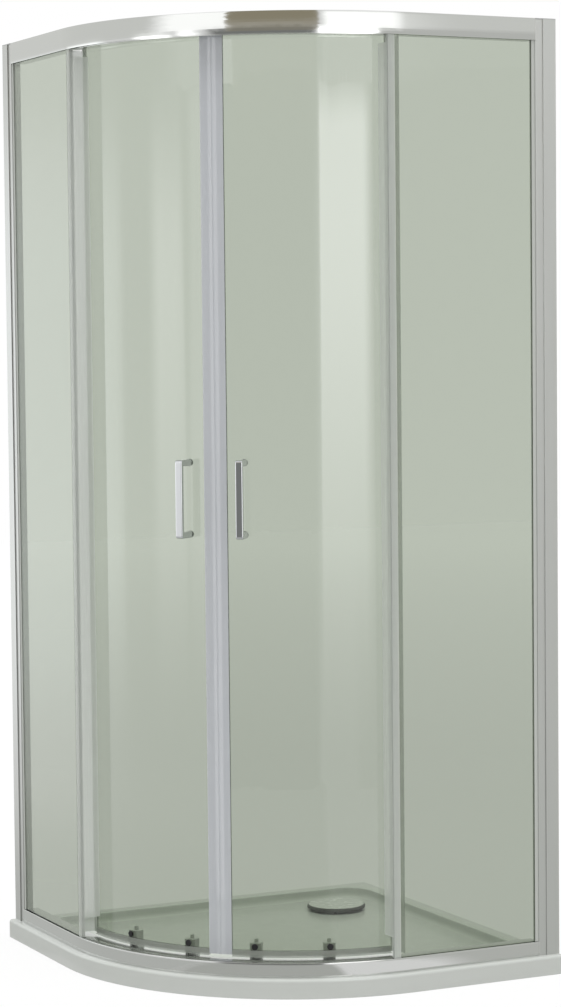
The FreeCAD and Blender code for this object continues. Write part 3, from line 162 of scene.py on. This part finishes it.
# Boards round the object that only mirrors and glass see: lamp screens and darker boards in two tiers, the upper
# one for the top rail and the lower one for the glass, and mats on the floor for the bottom rail.
# span: azimuths in degrees about the middle of the curve; near, far: radius and height of the long edges in metres;
# sides: soft share at the first and the last end; foot, head: soft share along the near and the far edge
boardSteps = 24
boards = {
    "leftUpper": {"span": (100, 190), "near": (3.04, 1.85), "far": (3.04, 3.4), "sides": (0.02, 0.12),
                  "foot": 0.15, "head": 0.0, "colour": "#F2F3F0", "strength": 1.0},
    "leftScreenUpper": {"span": (181, 221), "near": (3.0, 2.08), "far": (3.0, 3.4), "sides": (0.35, 0.1),
                        "foot": 0.0, "head": 0.3, "colour": "#FFFFFF", "strength": 1.65},
    "darkUpper": {"span": (217, 256.5), "near": (2.96, 1.7), "far": (2.96, 3.4), "sides": (0.04, 0.04),
                  "foot": 0.4, "head": 0.0, "colour": "#A79F8A", "strength": 1.0},
    "rightScreenUpper": {"span": (256, 297), "near": (3.0, 2.08), "far": (3.0, 3.4), "sides": (0.1, 0.25),
                         "foot": 0.0, "head": 0.6, "colour": "#FFFFFF", "strength": 1.75},
    "rightUpper": {"span": (290, 340), "near": (3.04, 2.12), "far": (3.04, 3.4), "sides": (0.05, 0.05),
                   "foot": 0.0, "head": 0.0, "colour": "#F0F1EE", "strength": 1.02},
    "leftLower": {"span": (100, 128), "near": (3.02, 0.0), "far": (3.02, 2.2), "sides": (0.05, 0.1),
                  "foot": 0.2, "head": 0.3, "colour": "#FCFFFF", "strength": 1.25},
    "leftWashLower": {"span": (127, 160), "near": (3.0, 0.0), "far": (3.0, 2.2), "sides": (0.1, 0.3),
                      "foot": 0.4, "head": 0.3, "colour": "#FCFFFF", "strength": 2.1},
    "leftScreenLower": {"span": (172, 196), "near": (3.02, 0.1), "far": (3.02, 2.2), "sides": (0.35, 0.35),
                        "foot": 0.7, "head": 0.3, "colour": "#FFFFFF", "strength": 3.2},
    "slimScreenLower": {"span": (194, 208), "near": (3.0, 0.1), "far": (3.0, 2.2), "sides": (0.4, 0.4),
                        "foot": 0.6, "head": 0.1, "colour": "#FFFFFF", "strength": 2.0},
    "darkLower": {"span": (207, 256), "near": (3.02, 0.0), "far": (3.02, 2.12), "sides": (0.15, 0.06),
                  "foot": 0.0, "head": 0.0, "colour": "#8E8F8D", "strength": 1.0},
    "rightScreenLower": {"span": (255.5, 283), "near": (3.0, 0.0), "far": (3.0, 2.16), "sides": (0.07, 0.25),
                         "foot": 0.85, "head": 0.1, "colour": "#FFFFFF", "strength": 6.0},
    "rightLower": {"span": (270, 340), "near": (3.04, 0.0), "far": (3.04, 2.12), "sides": (0.1, 0.05),
                   "foot": 0.0, "head": 0.0, "colour": "#DDDEDB", "strength": 1.0},
    "backLower": {"span": (-20, 102), "near": (3.04, 0.0), "far": (3.04, 2.4), "sides": (0.05, 0.05),
                  "foot": 0.0, "head": 0.3, "colour": "#E4E6E3", "strength": 1.0},
    "leftMat": {"span": (100, 214), "near": (0.575, 0.004), "far": (3.06, 0.004), "sides": (0.02, 0.05),
                "foot": 0.0, "head": 0.75, "colour": "#D6D8D5", "strength": 1.0},
    "frontMat": {"span": (209, 258), "near": (0.575, 0.006), "far": (3.06, 0.006), "sides": (0.1, 0.06),
                 "foot": 0.0, "head": 0.0, "colour": "#CACCC8", "strength": 1.0},
    "screenMat": {"span": (254, 290), "near": (0.575, 0.008), "far": (3.06, 0.008), "sides": (0.15, 0.3),
                  "foot": 0.0, "head": 0.3, "colour": "#FFFFFF", "strength": 1.02},
    "rightMat": {"span": (280, 340), "near": (0.575, 0.005), "far": (3.06, 0.005), "sides": (0.05, 0.05),
                 "foot": 0.0, "head": 0.0, "colour": "#D6D8D4", "strength": 1.0},
}


def makeBoard(name):
    data = boards[name]
    start, turn = data["span"][0], data["span"][1] - data["span"][0]
    mesh = bmesh.new()
    uv = mesh.loops.layers.uv.new("UVMap")
    columns = []
    for step in range(boardSteps + 1):
        angle = math.radians(start + turn * step / boardSteps)
        columns.append([mesh.verts.new((curveCentre + radius * math.cos(angle),
                                        curveCentre + radius * math.sin(angle), height))
                        for radius, height in (data["near"], data["far"])])
    for step in range(boardSteps):
        (a, b), (c, d) = columns[step], columns[step + 1]
        face = mesh.faces.new((a, c, d, b))
        for loop, (u, v) in zip(face.loops, ((step, 0), (step + 1, 0), (step + 1, 1), (step, 1))):
            loop[uv].uv = (u / boardSteps, v)
    made = bpy.data.meshes.new(name)
    mesh.to_mesh(made)
    mesh.free()
    obj = bpy.data.objects.new(name, made)
    bpy.context.scene.collection.objects.link(obj)
    material = bpy.data.materials.new(name)
    material.use_nodes = True
    tree = material.node_tree
    tree.nodes.clear()
    place = addNode(tree, "ShaderNodeTexCoord")
    split = addNode(tree, "ShaderNodeSeparateXYZ", {0: place.outputs["UV"]})
    mask = None  # fades the board out towards its soft edges
    for axis, edge, share in (("X", 0.0, data["sides"][0]), ("X", 1.0, -data["sides"][1]),
                              ("Y", 0.0, data["foot"]), ("Y", 1.0, -data["head"])):
        if share:
            ramp = addNode(tree, "ShaderNodeMapRange", {
                "Value": split.outputs[axis], "From Min": edge, "From Max": edge + share},
                interpolation_type="SMOOTHSTEP").outputs[0]
            mask = ramp if mask is None else addNode(
                tree, "ShaderNodeMath", {0: mask, 1: ramp}, operation="MULTIPLY").outputs[0]
    clear = addNode(tree, "ShaderNodeBsdfTransparent")
    glow = addNode(tree, "ShaderNodeEmission", {"Color": linear(data["colour"]), "Strength": data["strength"]})
    mix = addNode(tree, "ShaderNodeMixShader", {0: mask, 1: clear.outputs[0], 2: glow.outputs[0]})
    addNode(tree, "ShaderNodeOutputMaterial", {"Surface": mix.outputs[0]})
    made.materials.append(material)
    obj.visible_camera = obj.visible_diffuse = obj.visible_transmission = False
    obj.visible_shadow = obj.visible_volume_scatter = False


bpy.context.scene.view_settings.view_transform = "Standard"
makeCamera()
makeWorld()
makeFloor()
makeSun()
for name in boards:
    makeBoard(name)
clearLayers = 24  # light crosses this many faces of glass and clear strips in a row
cycles = bpy.context.scene.cycles
cycles.max_bounces = cycles.transmission_bounces = cycles.transparent_max_bounces = clearLayers
print("studio ready")


def newMaterial(name):
    material = bpy.data.materials.new(name)
    material.use_nodes = True
    material.node_tree.nodes.clear()
    return material, material.node_tree


def finishMaterial(tree, shader):
    addNode(tree, "ShaderNodeOutputMaterial", {"Surface": shader.outputs[0]})


def roughnessNoise(tree, grain, low, high, stretch=(1, 1, 1)):
    # noise on object coordinates with a grain in millimetres, mapped to a roughness between low and high
    place = addNode(tree, "ShaderNodeTexCoord")
    mapping = addNode(tree, "ShaderNodeMapping", {"Vector": place.outputs["Object"], "Scale": stretch})
    noise = addNode(tree, "ShaderNodeTexNoise", {"Vector": mapping.outputs[0], "Scale": 1000 / grain, "Detail": 3.0})
    spread = addNode(tree, "ShaderNodeMapRange", {"Value": noise.outputs["Fac"], "From Min": 0.3, "From Max": 0.7,
                                                  "To Min": low, "To Max": high})
    return noise, spread


def brightAluminium(name, stretch, colour, low, high):
    # Extruded aluminium, chemically brightened and clear anodised: a soft mirror
    # with very faint lines along the length from the die. Real die lines are about 0.1 mm apart,
    # too fine to show here, so they are drawn 1 mm apart.
    material, tree = newMaterial(name)
    noise, rough = roughnessNoise(tree, 1.0, low, high, stretch)
    bump = addNode(tree, "ShaderNodeBump", {"Height": noise.outputs["Fac"], "Distance": 0.00002, "Strength": 0.15})
    shader = addNode(tree, "ShaderNodeBsdfPrincipled", {
        "Base Color": linear(colour), "Metallic": 1.0, "Roughness": rough.outputs[0],
        "Normal": bump.outputs[0]})
    finishMaterial(tree, shader)
    return material


def smallMetal(name, colour, grain, low, high):
    # small metal parts: one colour, with a roughness that wanders between low and high
    material, tree = newMaterial(name)
    rough = roughnessNoise(tree, grain, low, high)[1]
    shader = addNode(tree, "ShaderNodeBsdfPrincipled", {
        "Base Color": linear(colour), "Metallic": 1.0, "Roughness": rough.outputs[0]})
    finishMaterial(tree, shader)
    return material


def throughGlass(tree, shader, shade):
    # Shadow rays pass straight through, so that the light inside stays soft.
    path = addNode(tree, "ShaderNodeLightPath")
    clear = addNode(tree, "ShaderNodeBsdfTransparent", {"Color": linear(shade)})
    return addNode(tree, "ShaderNodeMixShader", {
        0: path.outputs["Is Shadow Ray"], 1: shader.outputs[0], 2: clear.outputs[0]})


# wave: from crest to crest in millimetres; waveHeight in metres
glass = {"body": "#B6BDB0", "shadow": "#EEF2EC", "ior": 1.5, "wave": 250, "waveHeight": 0.0004, "waveShare": 0.2}


def toughenedGlass():
    # Float glass 6 mm thick, toughened: grey-green body colour, polished faces,
    # and a faint waviness from the toughening rollers.
    material, tree = newMaterial("toughenedFloatGlass")
    place = addNode(tree, "ShaderNodeTexCoord")
    wave = addNode(tree, "ShaderNodeTexNoise", {
        "Vector": place.outputs["Object"], "Scale": 1000 / glass["wave"], "Detail": 1.0})
    bump = addNode(tree, "ShaderNodeBump", {
        "Height": wave.outputs["Fac"], "Distance": glass["waveHeight"], "Strength": glass["waveShare"]})
    shader = addNode(tree, "ShaderNodeBsdfPrincipled", {
        "Base Color": linear(glass["body"]), "Roughness": 0.0, "IOR": glass["ior"], "Transmission Weight": 1.0,
        "Normal": bump.outputs[0]})
    finishMaterial(tree, throughGlass(tree, shader, glass["shadow"]))
    return material


def softStrip(name, colour, haze, rough):
    # Extruded soft PVC: clear to milky, its surface slightly frosted by the die and drawn along its length.
    # The die's lines are far finer than a millimetre and are drawn 3 mm apart to show.
    material, tree = newMaterial(name)
    noise, roughness = roughnessNoise(tree, 3.0, rough * 0.8, rough * 1.2, (1, 1, 0.05))
    milk = addNode(tree, "ShaderNodeMapRange", {
        "Value": noise.outputs["Fac"], "To Min": haze * 0.96, "To Max": haze * 1.04})
    shader = addNode(tree, "ShaderNodeBsdfPrincipled", {
        "Base Color": linear(colour), "Roughness": roughness.outputs[0], "IOR": 1.4, "Alpha": milk.outputs[0]})
    finishMaterial(tree, shader)
    return material


# split: height in metres where the disc's gloss gives way to the dark painted shade of rim and underside; edge: how
# soft it is
cover = {"split": 0.0312, "edge": 0.0006, "disc": "#D3D6D2", "paintedRimShade": "#3E403C"}


def coverFinish():
    # Waste cover: a disc with the tray's gloss; below the split its rim and underside are painted dark, a painted
    # shade for the gap under the cover.
    material, tree = newMaterial("glossDiscWithPaintedRimShade")
    rough = roughnessNoise(tree, 15.0, 0.2, 0.3)[1]
    height = addNode(tree, "ShaderNodeSeparateXYZ", {0: addNode(tree, "ShaderNodeTexCoord").outputs["Object"]})
    above = addNode(tree, "ShaderNodeMapRange", {
        "Value": height.outputs["Z"], "From Min": cover["split"], "From Max": cover["split"] + cover["edge"]})
    disc = addNode(tree, "ShaderNodeBsdfPrincipled", {
        "Base Color": linear(cover["disc"]), "IOR": 1.4, "Roughness": rough.outputs[0]})
    # painted shade: the dark colour below the split stands in for the shadow under the cover's rim
    paintedRimShade = addNode(tree, "ShaderNodeBsdfPrincipled", {"Base Color": linear(cover["paintedRimShade"]), "Roughness": 0.5})
    both = addNode(tree, "ShaderNodeMixShader", {0: above.outputs[0], 1: paintedRimShade.outputs[0], 2: disc.outputs[0]})
    finishMaterial(tree, both)
    return material


def moulded(name, colour, low, high, grain=3.0, bumpDepth=0.00004, ior=1.49):
    # Injection moulded plastic or rubber: a fine spark-eroded skin, about 0.3 mm in the mould
    # and drawn at 3 mm to show. bumpDepth is in metres.
    material, tree = newMaterial(name)
    noise, rough = roughnessNoise(tree, grain, low, high)
    bump = addNode(tree, "ShaderNodeBump", {"Height": noise.outputs["Fac"], "Distance": bumpDepth, "Strength": 0.3})
    shader = addNode(tree, "ShaderNodeBsdfPrincipled", {
        "Base Color": linear(colour), "Roughness": rough.outputs[0], "IOR": ior, "Normal": bump.outputs[0]})
    finishMaterial(tree, shader)
    return material


# the die lines run upwards on posts and profiles, and along the curve on rails
alongPost, alongRail = (1, 1, 0.004), (0.004, 0.004, 1)

# one finish for each material slot; the last two numbers are the lowest and the highest roughness,
# or the haze and the roughness of a soft strip
finishes = {
    # gel coat on cast resin: white and glossy, with a soft wave of about 25 mm left by the mould
    "white_gloss_resin": moulded("whiteGelCoatResin", "#D3D6D2", 0.14, 0.26, 25.0, 0.0001, 1.4),
    "polished_aluminium": brightAluminium("brightAluminiumPost", alongPost, "#C9CAC8", 0.05, 0.085),
    "clear_glass": toughenedGlass(),
    "clear_pvc": softStrip("clearSoftVinyl", "#E8ECE7", 0.42, 0.25),
    "magnet_pvc": softStrip("milkyVinylOverMagnet", "#D9DCE1", 0.7, 0.4),
    "grey_gasket": moulded("greyGasketRubber", "#C6C9C4", 0.55, 0.7),
    "clear_washer": softStrip("clearWasherVinyl", "#C4C8C3", 0.15, 0.15),
    # zinc die casting, polished and chromium plated: a hard mirror, slightly cool,
    # a little less sharp in patches of about 15 mm where the buffing wheel passed
    "chrome_plate": smallMetal("polishedChromePlate", "#C8CACC", 15.0, 0.03, 0.06),
    "satin_cap": moulded("silverGreyAbs", "#B9BBBA", 0.35, 0.5),
    "white_nylon": moulded("whiteNylon", "#DCDCD8", 0.35, 0.5),
    "grey_plastic": moulded("greyPolypropylene", "#C2C4C1", 0.4, 0.55),
    # screws with a black oxide skin: matt, with duller patches drawn at 2 mm to show
    "black_steel": smallMetal("blackOxideSteel", "#3A3A3B", 2.0, 0.35, 0.5),
    "black_rubber": moulded("blackRubber", "#262626", 0.6, 0.75),
    # stainless screws and springs: grey, with drawing marks that are finer than 0.1 mm, drawn at 1.5 mm to show
    "stainless_steel": smallMetal("drawnStainlessSteel", "#B4B4B2", 1.5, 0.2, 0.34),
}
railFinish = brightAluminium("brightAluminiumRail", alongRail, "#C9CAC8", 0.06, 0.1)
stripFinish = brightAluminium("satinAluminiumStrip", alongRail, "#9A9C99", 0.35, 0.45)
satin = brightAluminium("satinAluminiumProfile", alongPost, "#C3C4C2", 0.3, 0.4)
lowSeal = softStrip("greySoftVinyl", "#AEB3AB", 0.5, 0.35)
ownFinish = {"waste_cover": coverFinish()}
for side in ("left", "right"):
    ownFinish["wall_profile_" + side] = ownFinish["adjusting_post_" + side] = satin
    ownFinish["bottom_seal_" + side] = lowSeal
slots = {part["node"]: part["material_slot"] for part in frame["record"]["subparts"]}
for name, obj in nodes.items():
    for slot in obj.material_slots:
        slot.material = ownFinish.get(name, finishes[slots[name]])
print("materials assigned")


def sweepTree():
    # Rails and strip are one section swept along the quadrant: the object's own mesh is the section,
    # and the path is straight, then an arc, then straight.
    tree = bpy.data.node_groups.new("sweepAlongQuadrant", "GeometryNodeTree")
    face = tree.interface
    face.new_socket("Section", in_out="INPUT", socket_type="NodeSocketGeometry")
    for name, kind, value in (("Radius", "Float", 0.55), ("Start Angle", "Float", math.pi),
                              ("Sweep", "Float", math.pi / 2), ("Lead Run", "Float", 0.3),
                              ("Tail Run", "Float", 0.3), ("Centre", "Float", curveCentre),
                              ("Edge Radius", "Float", 0.0005), ("Sharp Angle", "Float", math.radians(40)),
                              ("Steps", "Int", 200), ("Finish", "Material", None)):
        socket = face.new_socket(name, in_out="INPUT", socket_type="NodeSocket" + kind)
        if value is not None:
            socket.default_value = value
    face.new_socket("Geometry", in_out="OUTPUT", socket_type="NodeSocketGeometry")
    given = addNode(tree, "NodeGroupInput").outputs

    def maths(operation, *values):
        return addNode(tree, "ShaderNodeMath", dict(enumerate(values)), operation=operation).outputs[0]

    arcLength = maths("MULTIPLY", given["Radius"], given["Sweep"])
    length = maths("ADD", maths("ADD", arcLength, given["Lead Run"]), given["Tail Run"])
    end = addNode(tree, "ShaderNodeCombineXYZ", {"X": length})
    line = addNode(tree, "GeometryNodeCurvePrimitiveLine", {"Start": (0, 0, 0), "End": end.outputs[0]})
    fine = addNode(tree, "GeometryNodeResampleCurve", {"Curve": line.outputs[0], "Count": given["Steps"]})
    place = addNode(tree, "GeometryNodeInputPosition")
    along = addNode(tree, "ShaderNodeSeparateXYZ", {0: place.outputs[0]}).outputs["X"]
    past = maths("SUBTRACT", along, given["Lead Run"])
    onArc = maths("MAXIMUM", maths("MINIMUM", past, arcLength), 0.0)
    straight = maths("SUBTRACT", past, onArc)
    angle = maths("ADD", maths("DIVIDE", onArc, given["Radius"]), given["Start Angle"])
    cosine, sine = maths("COSINE", angle), maths("SINE", angle)
    x = maths("SUBTRACT", maths("MULTIPLY", given["Radius"], cosine), maths("MULTIPLY", straight, sine))
    y = maths("ADD", maths("MULTIPLY", given["Radius"], sine), maths("MULTIPLY", straight, cosine))
    point = addNode(tree, "ShaderNodeCombineXYZ", {
        "X": maths("ADD", x, given["Centre"]), "Y": maths("ADD", y, given["Centre"])})
    bent = addNode(tree, "GeometryNodeSetPosition", {"Geometry": fine.outputs[0], "Position": point.outputs[0]})
    level = addNode(tree, "GeometryNodeSetCurveNormal", {"Curve": bent.outputs[0]}, mode="Z_UP")
    section = addNode(tree, "GeometryNodeMeshToCurve", {"Mesh": given["Section"]})
    eased = addNode(tree, "GeometryNodeFilletCurve", {
        "Curve": section.outputs[0], "Radius": given["Edge Radius"], "Count": 3, "Limit Radius": True}, mode="POLY")
    swept = addNode(tree, "GeometryNodeCurveToMesh", {
        "Curve": level.outputs[0], "Profile Curve": eased.outputs[0], "Fill Caps": True})
    edgeAngle = addNode(tree, "GeometryNodeInputMeshEdgeAngle")
    sharp = addNode(tree, "FunctionNodeCompare", {0: edgeAngle.outputs["Unsigned Angle"], 1: given["Sharp Angle"]},
                    data_type="FLOAT", operation="GREATER_THAN")
    smooth = addNode(tree, "GeometryNodeSetShadeSmooth", {
        "Geometry": swept.outputs[0], "Selection": sharp.outputs[0], "Shade Smooth": False}, domain="EDGE")
    solid = addNode(tree, "GeometryNodeRealizeInstances", {"Geometry": smooth.outputs[0]})
    finished = addNode(tree, "GeometryNodeSetMaterial", {"Geometry": solid.outputs[0], "Material": given["Finish"]})
    addNode(tree, "NodeGroupOutput", {0: finished.outputs[0]})
    return tree


quadrantSweep = sweepTree()


def applyTree(name, mesh, tree, inputs, body, replaced):
    # runs a node tree on a mesh and keeps the result as a plain mesh that rides on a body
    source = bpy.data.objects.new(name + "Source", mesh)
    bpy.context.scene.collection.objects.link(source)
    modifier = source.modifiers.new("tree", "NODES")
    modifier.node_group = tree
    identifiers = {item.name: item.identifier for item in tree.interface.items_tree if item.in_out == "INPUT"}
    for label, value in inputs.items():
        modifier[identifiers[label]] = value
    evaluated = source.evaluated_get(bpy.context.evaluated_depsgraph_get())
    made = bpy.data.meshes.new_from_object(evaluated)
    made.name = name
    source.modifiers.remove(modifier)
    bpy.data.objects.remove(source)
    shape = bmesh.new()
    shape.from_mesh(made)
    bmesh.ops.recalc_face_normals(shape, faces=shape.faces)
    shape.to_mesh(made)
    shape.free()
    piece = bpy.data.objects.new(name, made)
    bpy.context.scene.collection.objects.link(piece)
    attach(piece, body)
    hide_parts(*replaced)
    return piece


def sectionMesh(name, outline, low):
    # outline: offset in from the tray's edge and height, in mm; the sweep's x points out, its y down
    points = [(-offset * mm, -(low + height) * mm, 0) for offset, height in outline]
    mesh = bpy.data.meshes.new(name)
    mesh.from_pydata(points, [(i, (i + 1) % len(points)) for i in range(len(points))], [])
    return mesh


# all in millimetres; offsets are measured in from the tray's front edge
rails = {
    "front": 15, "back": 55, "wall": 3, "slotNear": 18, "slotFar": 28, "channelBack": 31, "lipNear": 53,
    "run": 301.8, "trayRadius": 550, "edge": 0.6, "crown": 0.7,  # the outer faces are slightly round
    "bottomLow": 40, "bottomHigh": 30, "slotFloor": 12, "bottomLip": 22.5,
    "topLow": 1945, "topHigh": 45, "trackLip": 8, "upperLip": 34,
    "infillHalfSpan": 40.247,  # degrees to each side of the middle
    "infillWall": 2, "infillGap": 0.15, "infillLow": 12.05, "infillSteps": 120, "infillEdge": 0.3,
}


def roundFace(front, high, crown, steps=8):
    # a rail's outer face from its top down, set back by the crown at both edges
    return [(front + crown * (1 - 2 * step / steps) ** 2, high * (1 - step / steps)) for step in range(steps + 1)]


def makeRails():
    r = rails
    front, back, near, far = r["front"], r["back"], r["slotNear"], r["slotFar"]
    channel, lip, wall = r["channelBack"], r["lipNear"], r["wall"]
    top, ceiling, floor = r["bottomHigh"], r["bottomHigh"] - wall, r["slotFloor"]
    lower = [(near, 0), (near, floor - wall), (far, floor - wall), (far, 0), (back, 0), (back, wall),
             (channel, wall), (channel, ceiling), (lip, ceiling), (lip, r["bottomLip"]), (back, r["bottomLip"]),
             (back, top), (far, top), (far, floor), (near, floor), (near, top)] + roundFace(front, top, r["crown"])
    top, ceiling = r["topHigh"], r["topHigh"] - wall
    upper = [(near, 0), (near, ceiling), (far, ceiling), (far, 0), (back, 0), (back, r["trackLip"]),
             (lip, r["trackLip"]), (lip, wall), (channel, wall), (channel, ceiling), (lip, ceiling),
             (lip, r["upperLip"]), (back, r["upperLip"]), (back, top)] + roundFace(front, top, r["crown"])
    near, far = near + r["infillGap"], far - r["infillGap"]
    thick, low, top = r["infillWall"], r["infillLow"], r["bottomHigh"]
    infill = [(near, low), (near + thick, low), (near + thick, top - thick), (far - thick, top - thick),
              (far - thick, low), (far, low), (far, top), (near, top)]
    common = {"Radius": r["trayRadius"] * mm, "Finish": railFinish, "Edge Radius": r["edge"] * mm}
    full = dict(common, **{"Lead Run": r["run"] * mm, "Tail Run": r["run"] * mm})
    middle = 225  # degrees, the way the middle of the curve faces
    short = dict(common, **{"Lead Run": 0.0, "Tail Run": 0.0, "Steps": r["infillSteps"],
                            "Edge Radius": r["infillEdge"] * mm,
                            "Start Angle": math.radians(middle - r["infillHalfSpan"]),
                            "Sweep": math.radians(2 * r["infillHalfSpan"]), "Finish": stripFinish})
    for name, outline, low, inputs, node in (
            ("bottomRail", lower, r["bottomLow"], full, "bottom_rail"),
            ("topRail", upper, r["topLow"], full, "top_rail"),
            ("railInfillStrip", infill, r["bottomLow"], short, "rail_infill_strip")):
        applyTree(name, sectionMesh(name, outline, low), quadrantSweep, inputs, "enclosure",
                  [node])


makeRails()
print("rails swept")


def coilTree():
    # A coil of wire; the object's own mesh is the wire's section.
    tree = bpy.data.node_groups.new("coilSpring", "GeometryNodeTree")
    face = tree.interface
    face.new_socket("Section", in_out="INPUT", socket_type="NodeSocketGeometry")
    for name, kind, value in (("Radius", "Float", 0.005), ("Height", "Float", 0.013), ("Turns", "Float", 5.0),
                              ("Turn Steps", "Int", 32), ("Foot", "Vector", None),
                              ("Finish", "Material", None)):
        socket = face.new_socket(name, in_out="INPUT", socket_type="NodeSocket" + kind)
        if value is not None:
            socket.default_value = value
    face.new_socket("Geometry", in_out="OUTPUT", socket_type="NodeSocketGeometry")
    given = addNode(tree, "NodeGroupInput").outputs
    helix = addNode(tree, "GeometryNodeCurveSpiral", {
        "Resolution": given["Turn Steps"], "Rotations": given["Turns"], "Start Radius": given["Radius"],
        "End Radius": given["Radius"], "Height": given["Height"]})
    section = addNode(tree, "GeometryNodeMeshToCurve", {"Mesh": given["Section"]})
    wire = addNode(tree, "GeometryNodeCurveToMesh", {
        "Curve": helix.outputs[0], "Profile Curve": section.outputs[0], "Fill Caps": True})
    smooth = addNode(tree, "GeometryNodeSetShadeSmooth", {"Geometry": wire.outputs[0]})
    placed = addNode(tree, "GeometryNodeTransform", {"Geometry": smooth.outputs[0], "Translation": given["Foot"]})
    solid = addNode(tree, "GeometryNodeRealizeInstances", {"Geometry": placed.outputs[0]})
    finished = addNode(tree, "GeometryNodeSetMaterial", {"Geometry": solid.outputs[0], "Material": given["Finish"]})
    addNode(tree, "NodeGroupOutput", {0: finished.outputs[0]})
    return tree


# Each release spring stands between its housing's ledge and its button's collar.
# All in millimetres; travel is how far the button goes in.
springs = {"radius": 5.2, "wire": 0.4, "wireSides": 12, "turns": 5.0, "foot": 76.1, "head": 89.9, "travel": 5.5}


def makeSprings():
    data = springs
    tree = coilTree()
    height = data["head"] - data["foot"]
    wire, sides = data["wire"] * mm, data["wireSides"]
    for side in ("left", "right"):
        for spot in ("lead", "trail"):
            node = "release_spring_" + side + "_" + spot
            corners = [Vector(corner) for corner in nodes[node].bound_box]
            middle = (corners[0] + corners[6]) / 2
            points = [(wire * math.cos(turn), wire * math.sin(turn), 0)
                      for turn in (math.tau * step / sides for step in range(sides))]
            mesh = bpy.data.meshes.new(node)
            mesh.from_pydata(points, [(i, (i + 1) % sides) for i in range(sides)], [])
            inputs = {"Radius": data["radius"] * mm, "Height": height * mm - 2 * wire,
                      "Turns": data["turns"], "Finish": finishes["stainless_steel"],
                      "Foot": (middle.x, middle.y, data["foot"] * mm + wire)}
            name = "releaseSpring" + side.title() + spot.title()
            spring = applyTree(name, mesh, tree, inputs, side + "_door", [node])
            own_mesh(spring)


makeSprings()
print("springs wound")
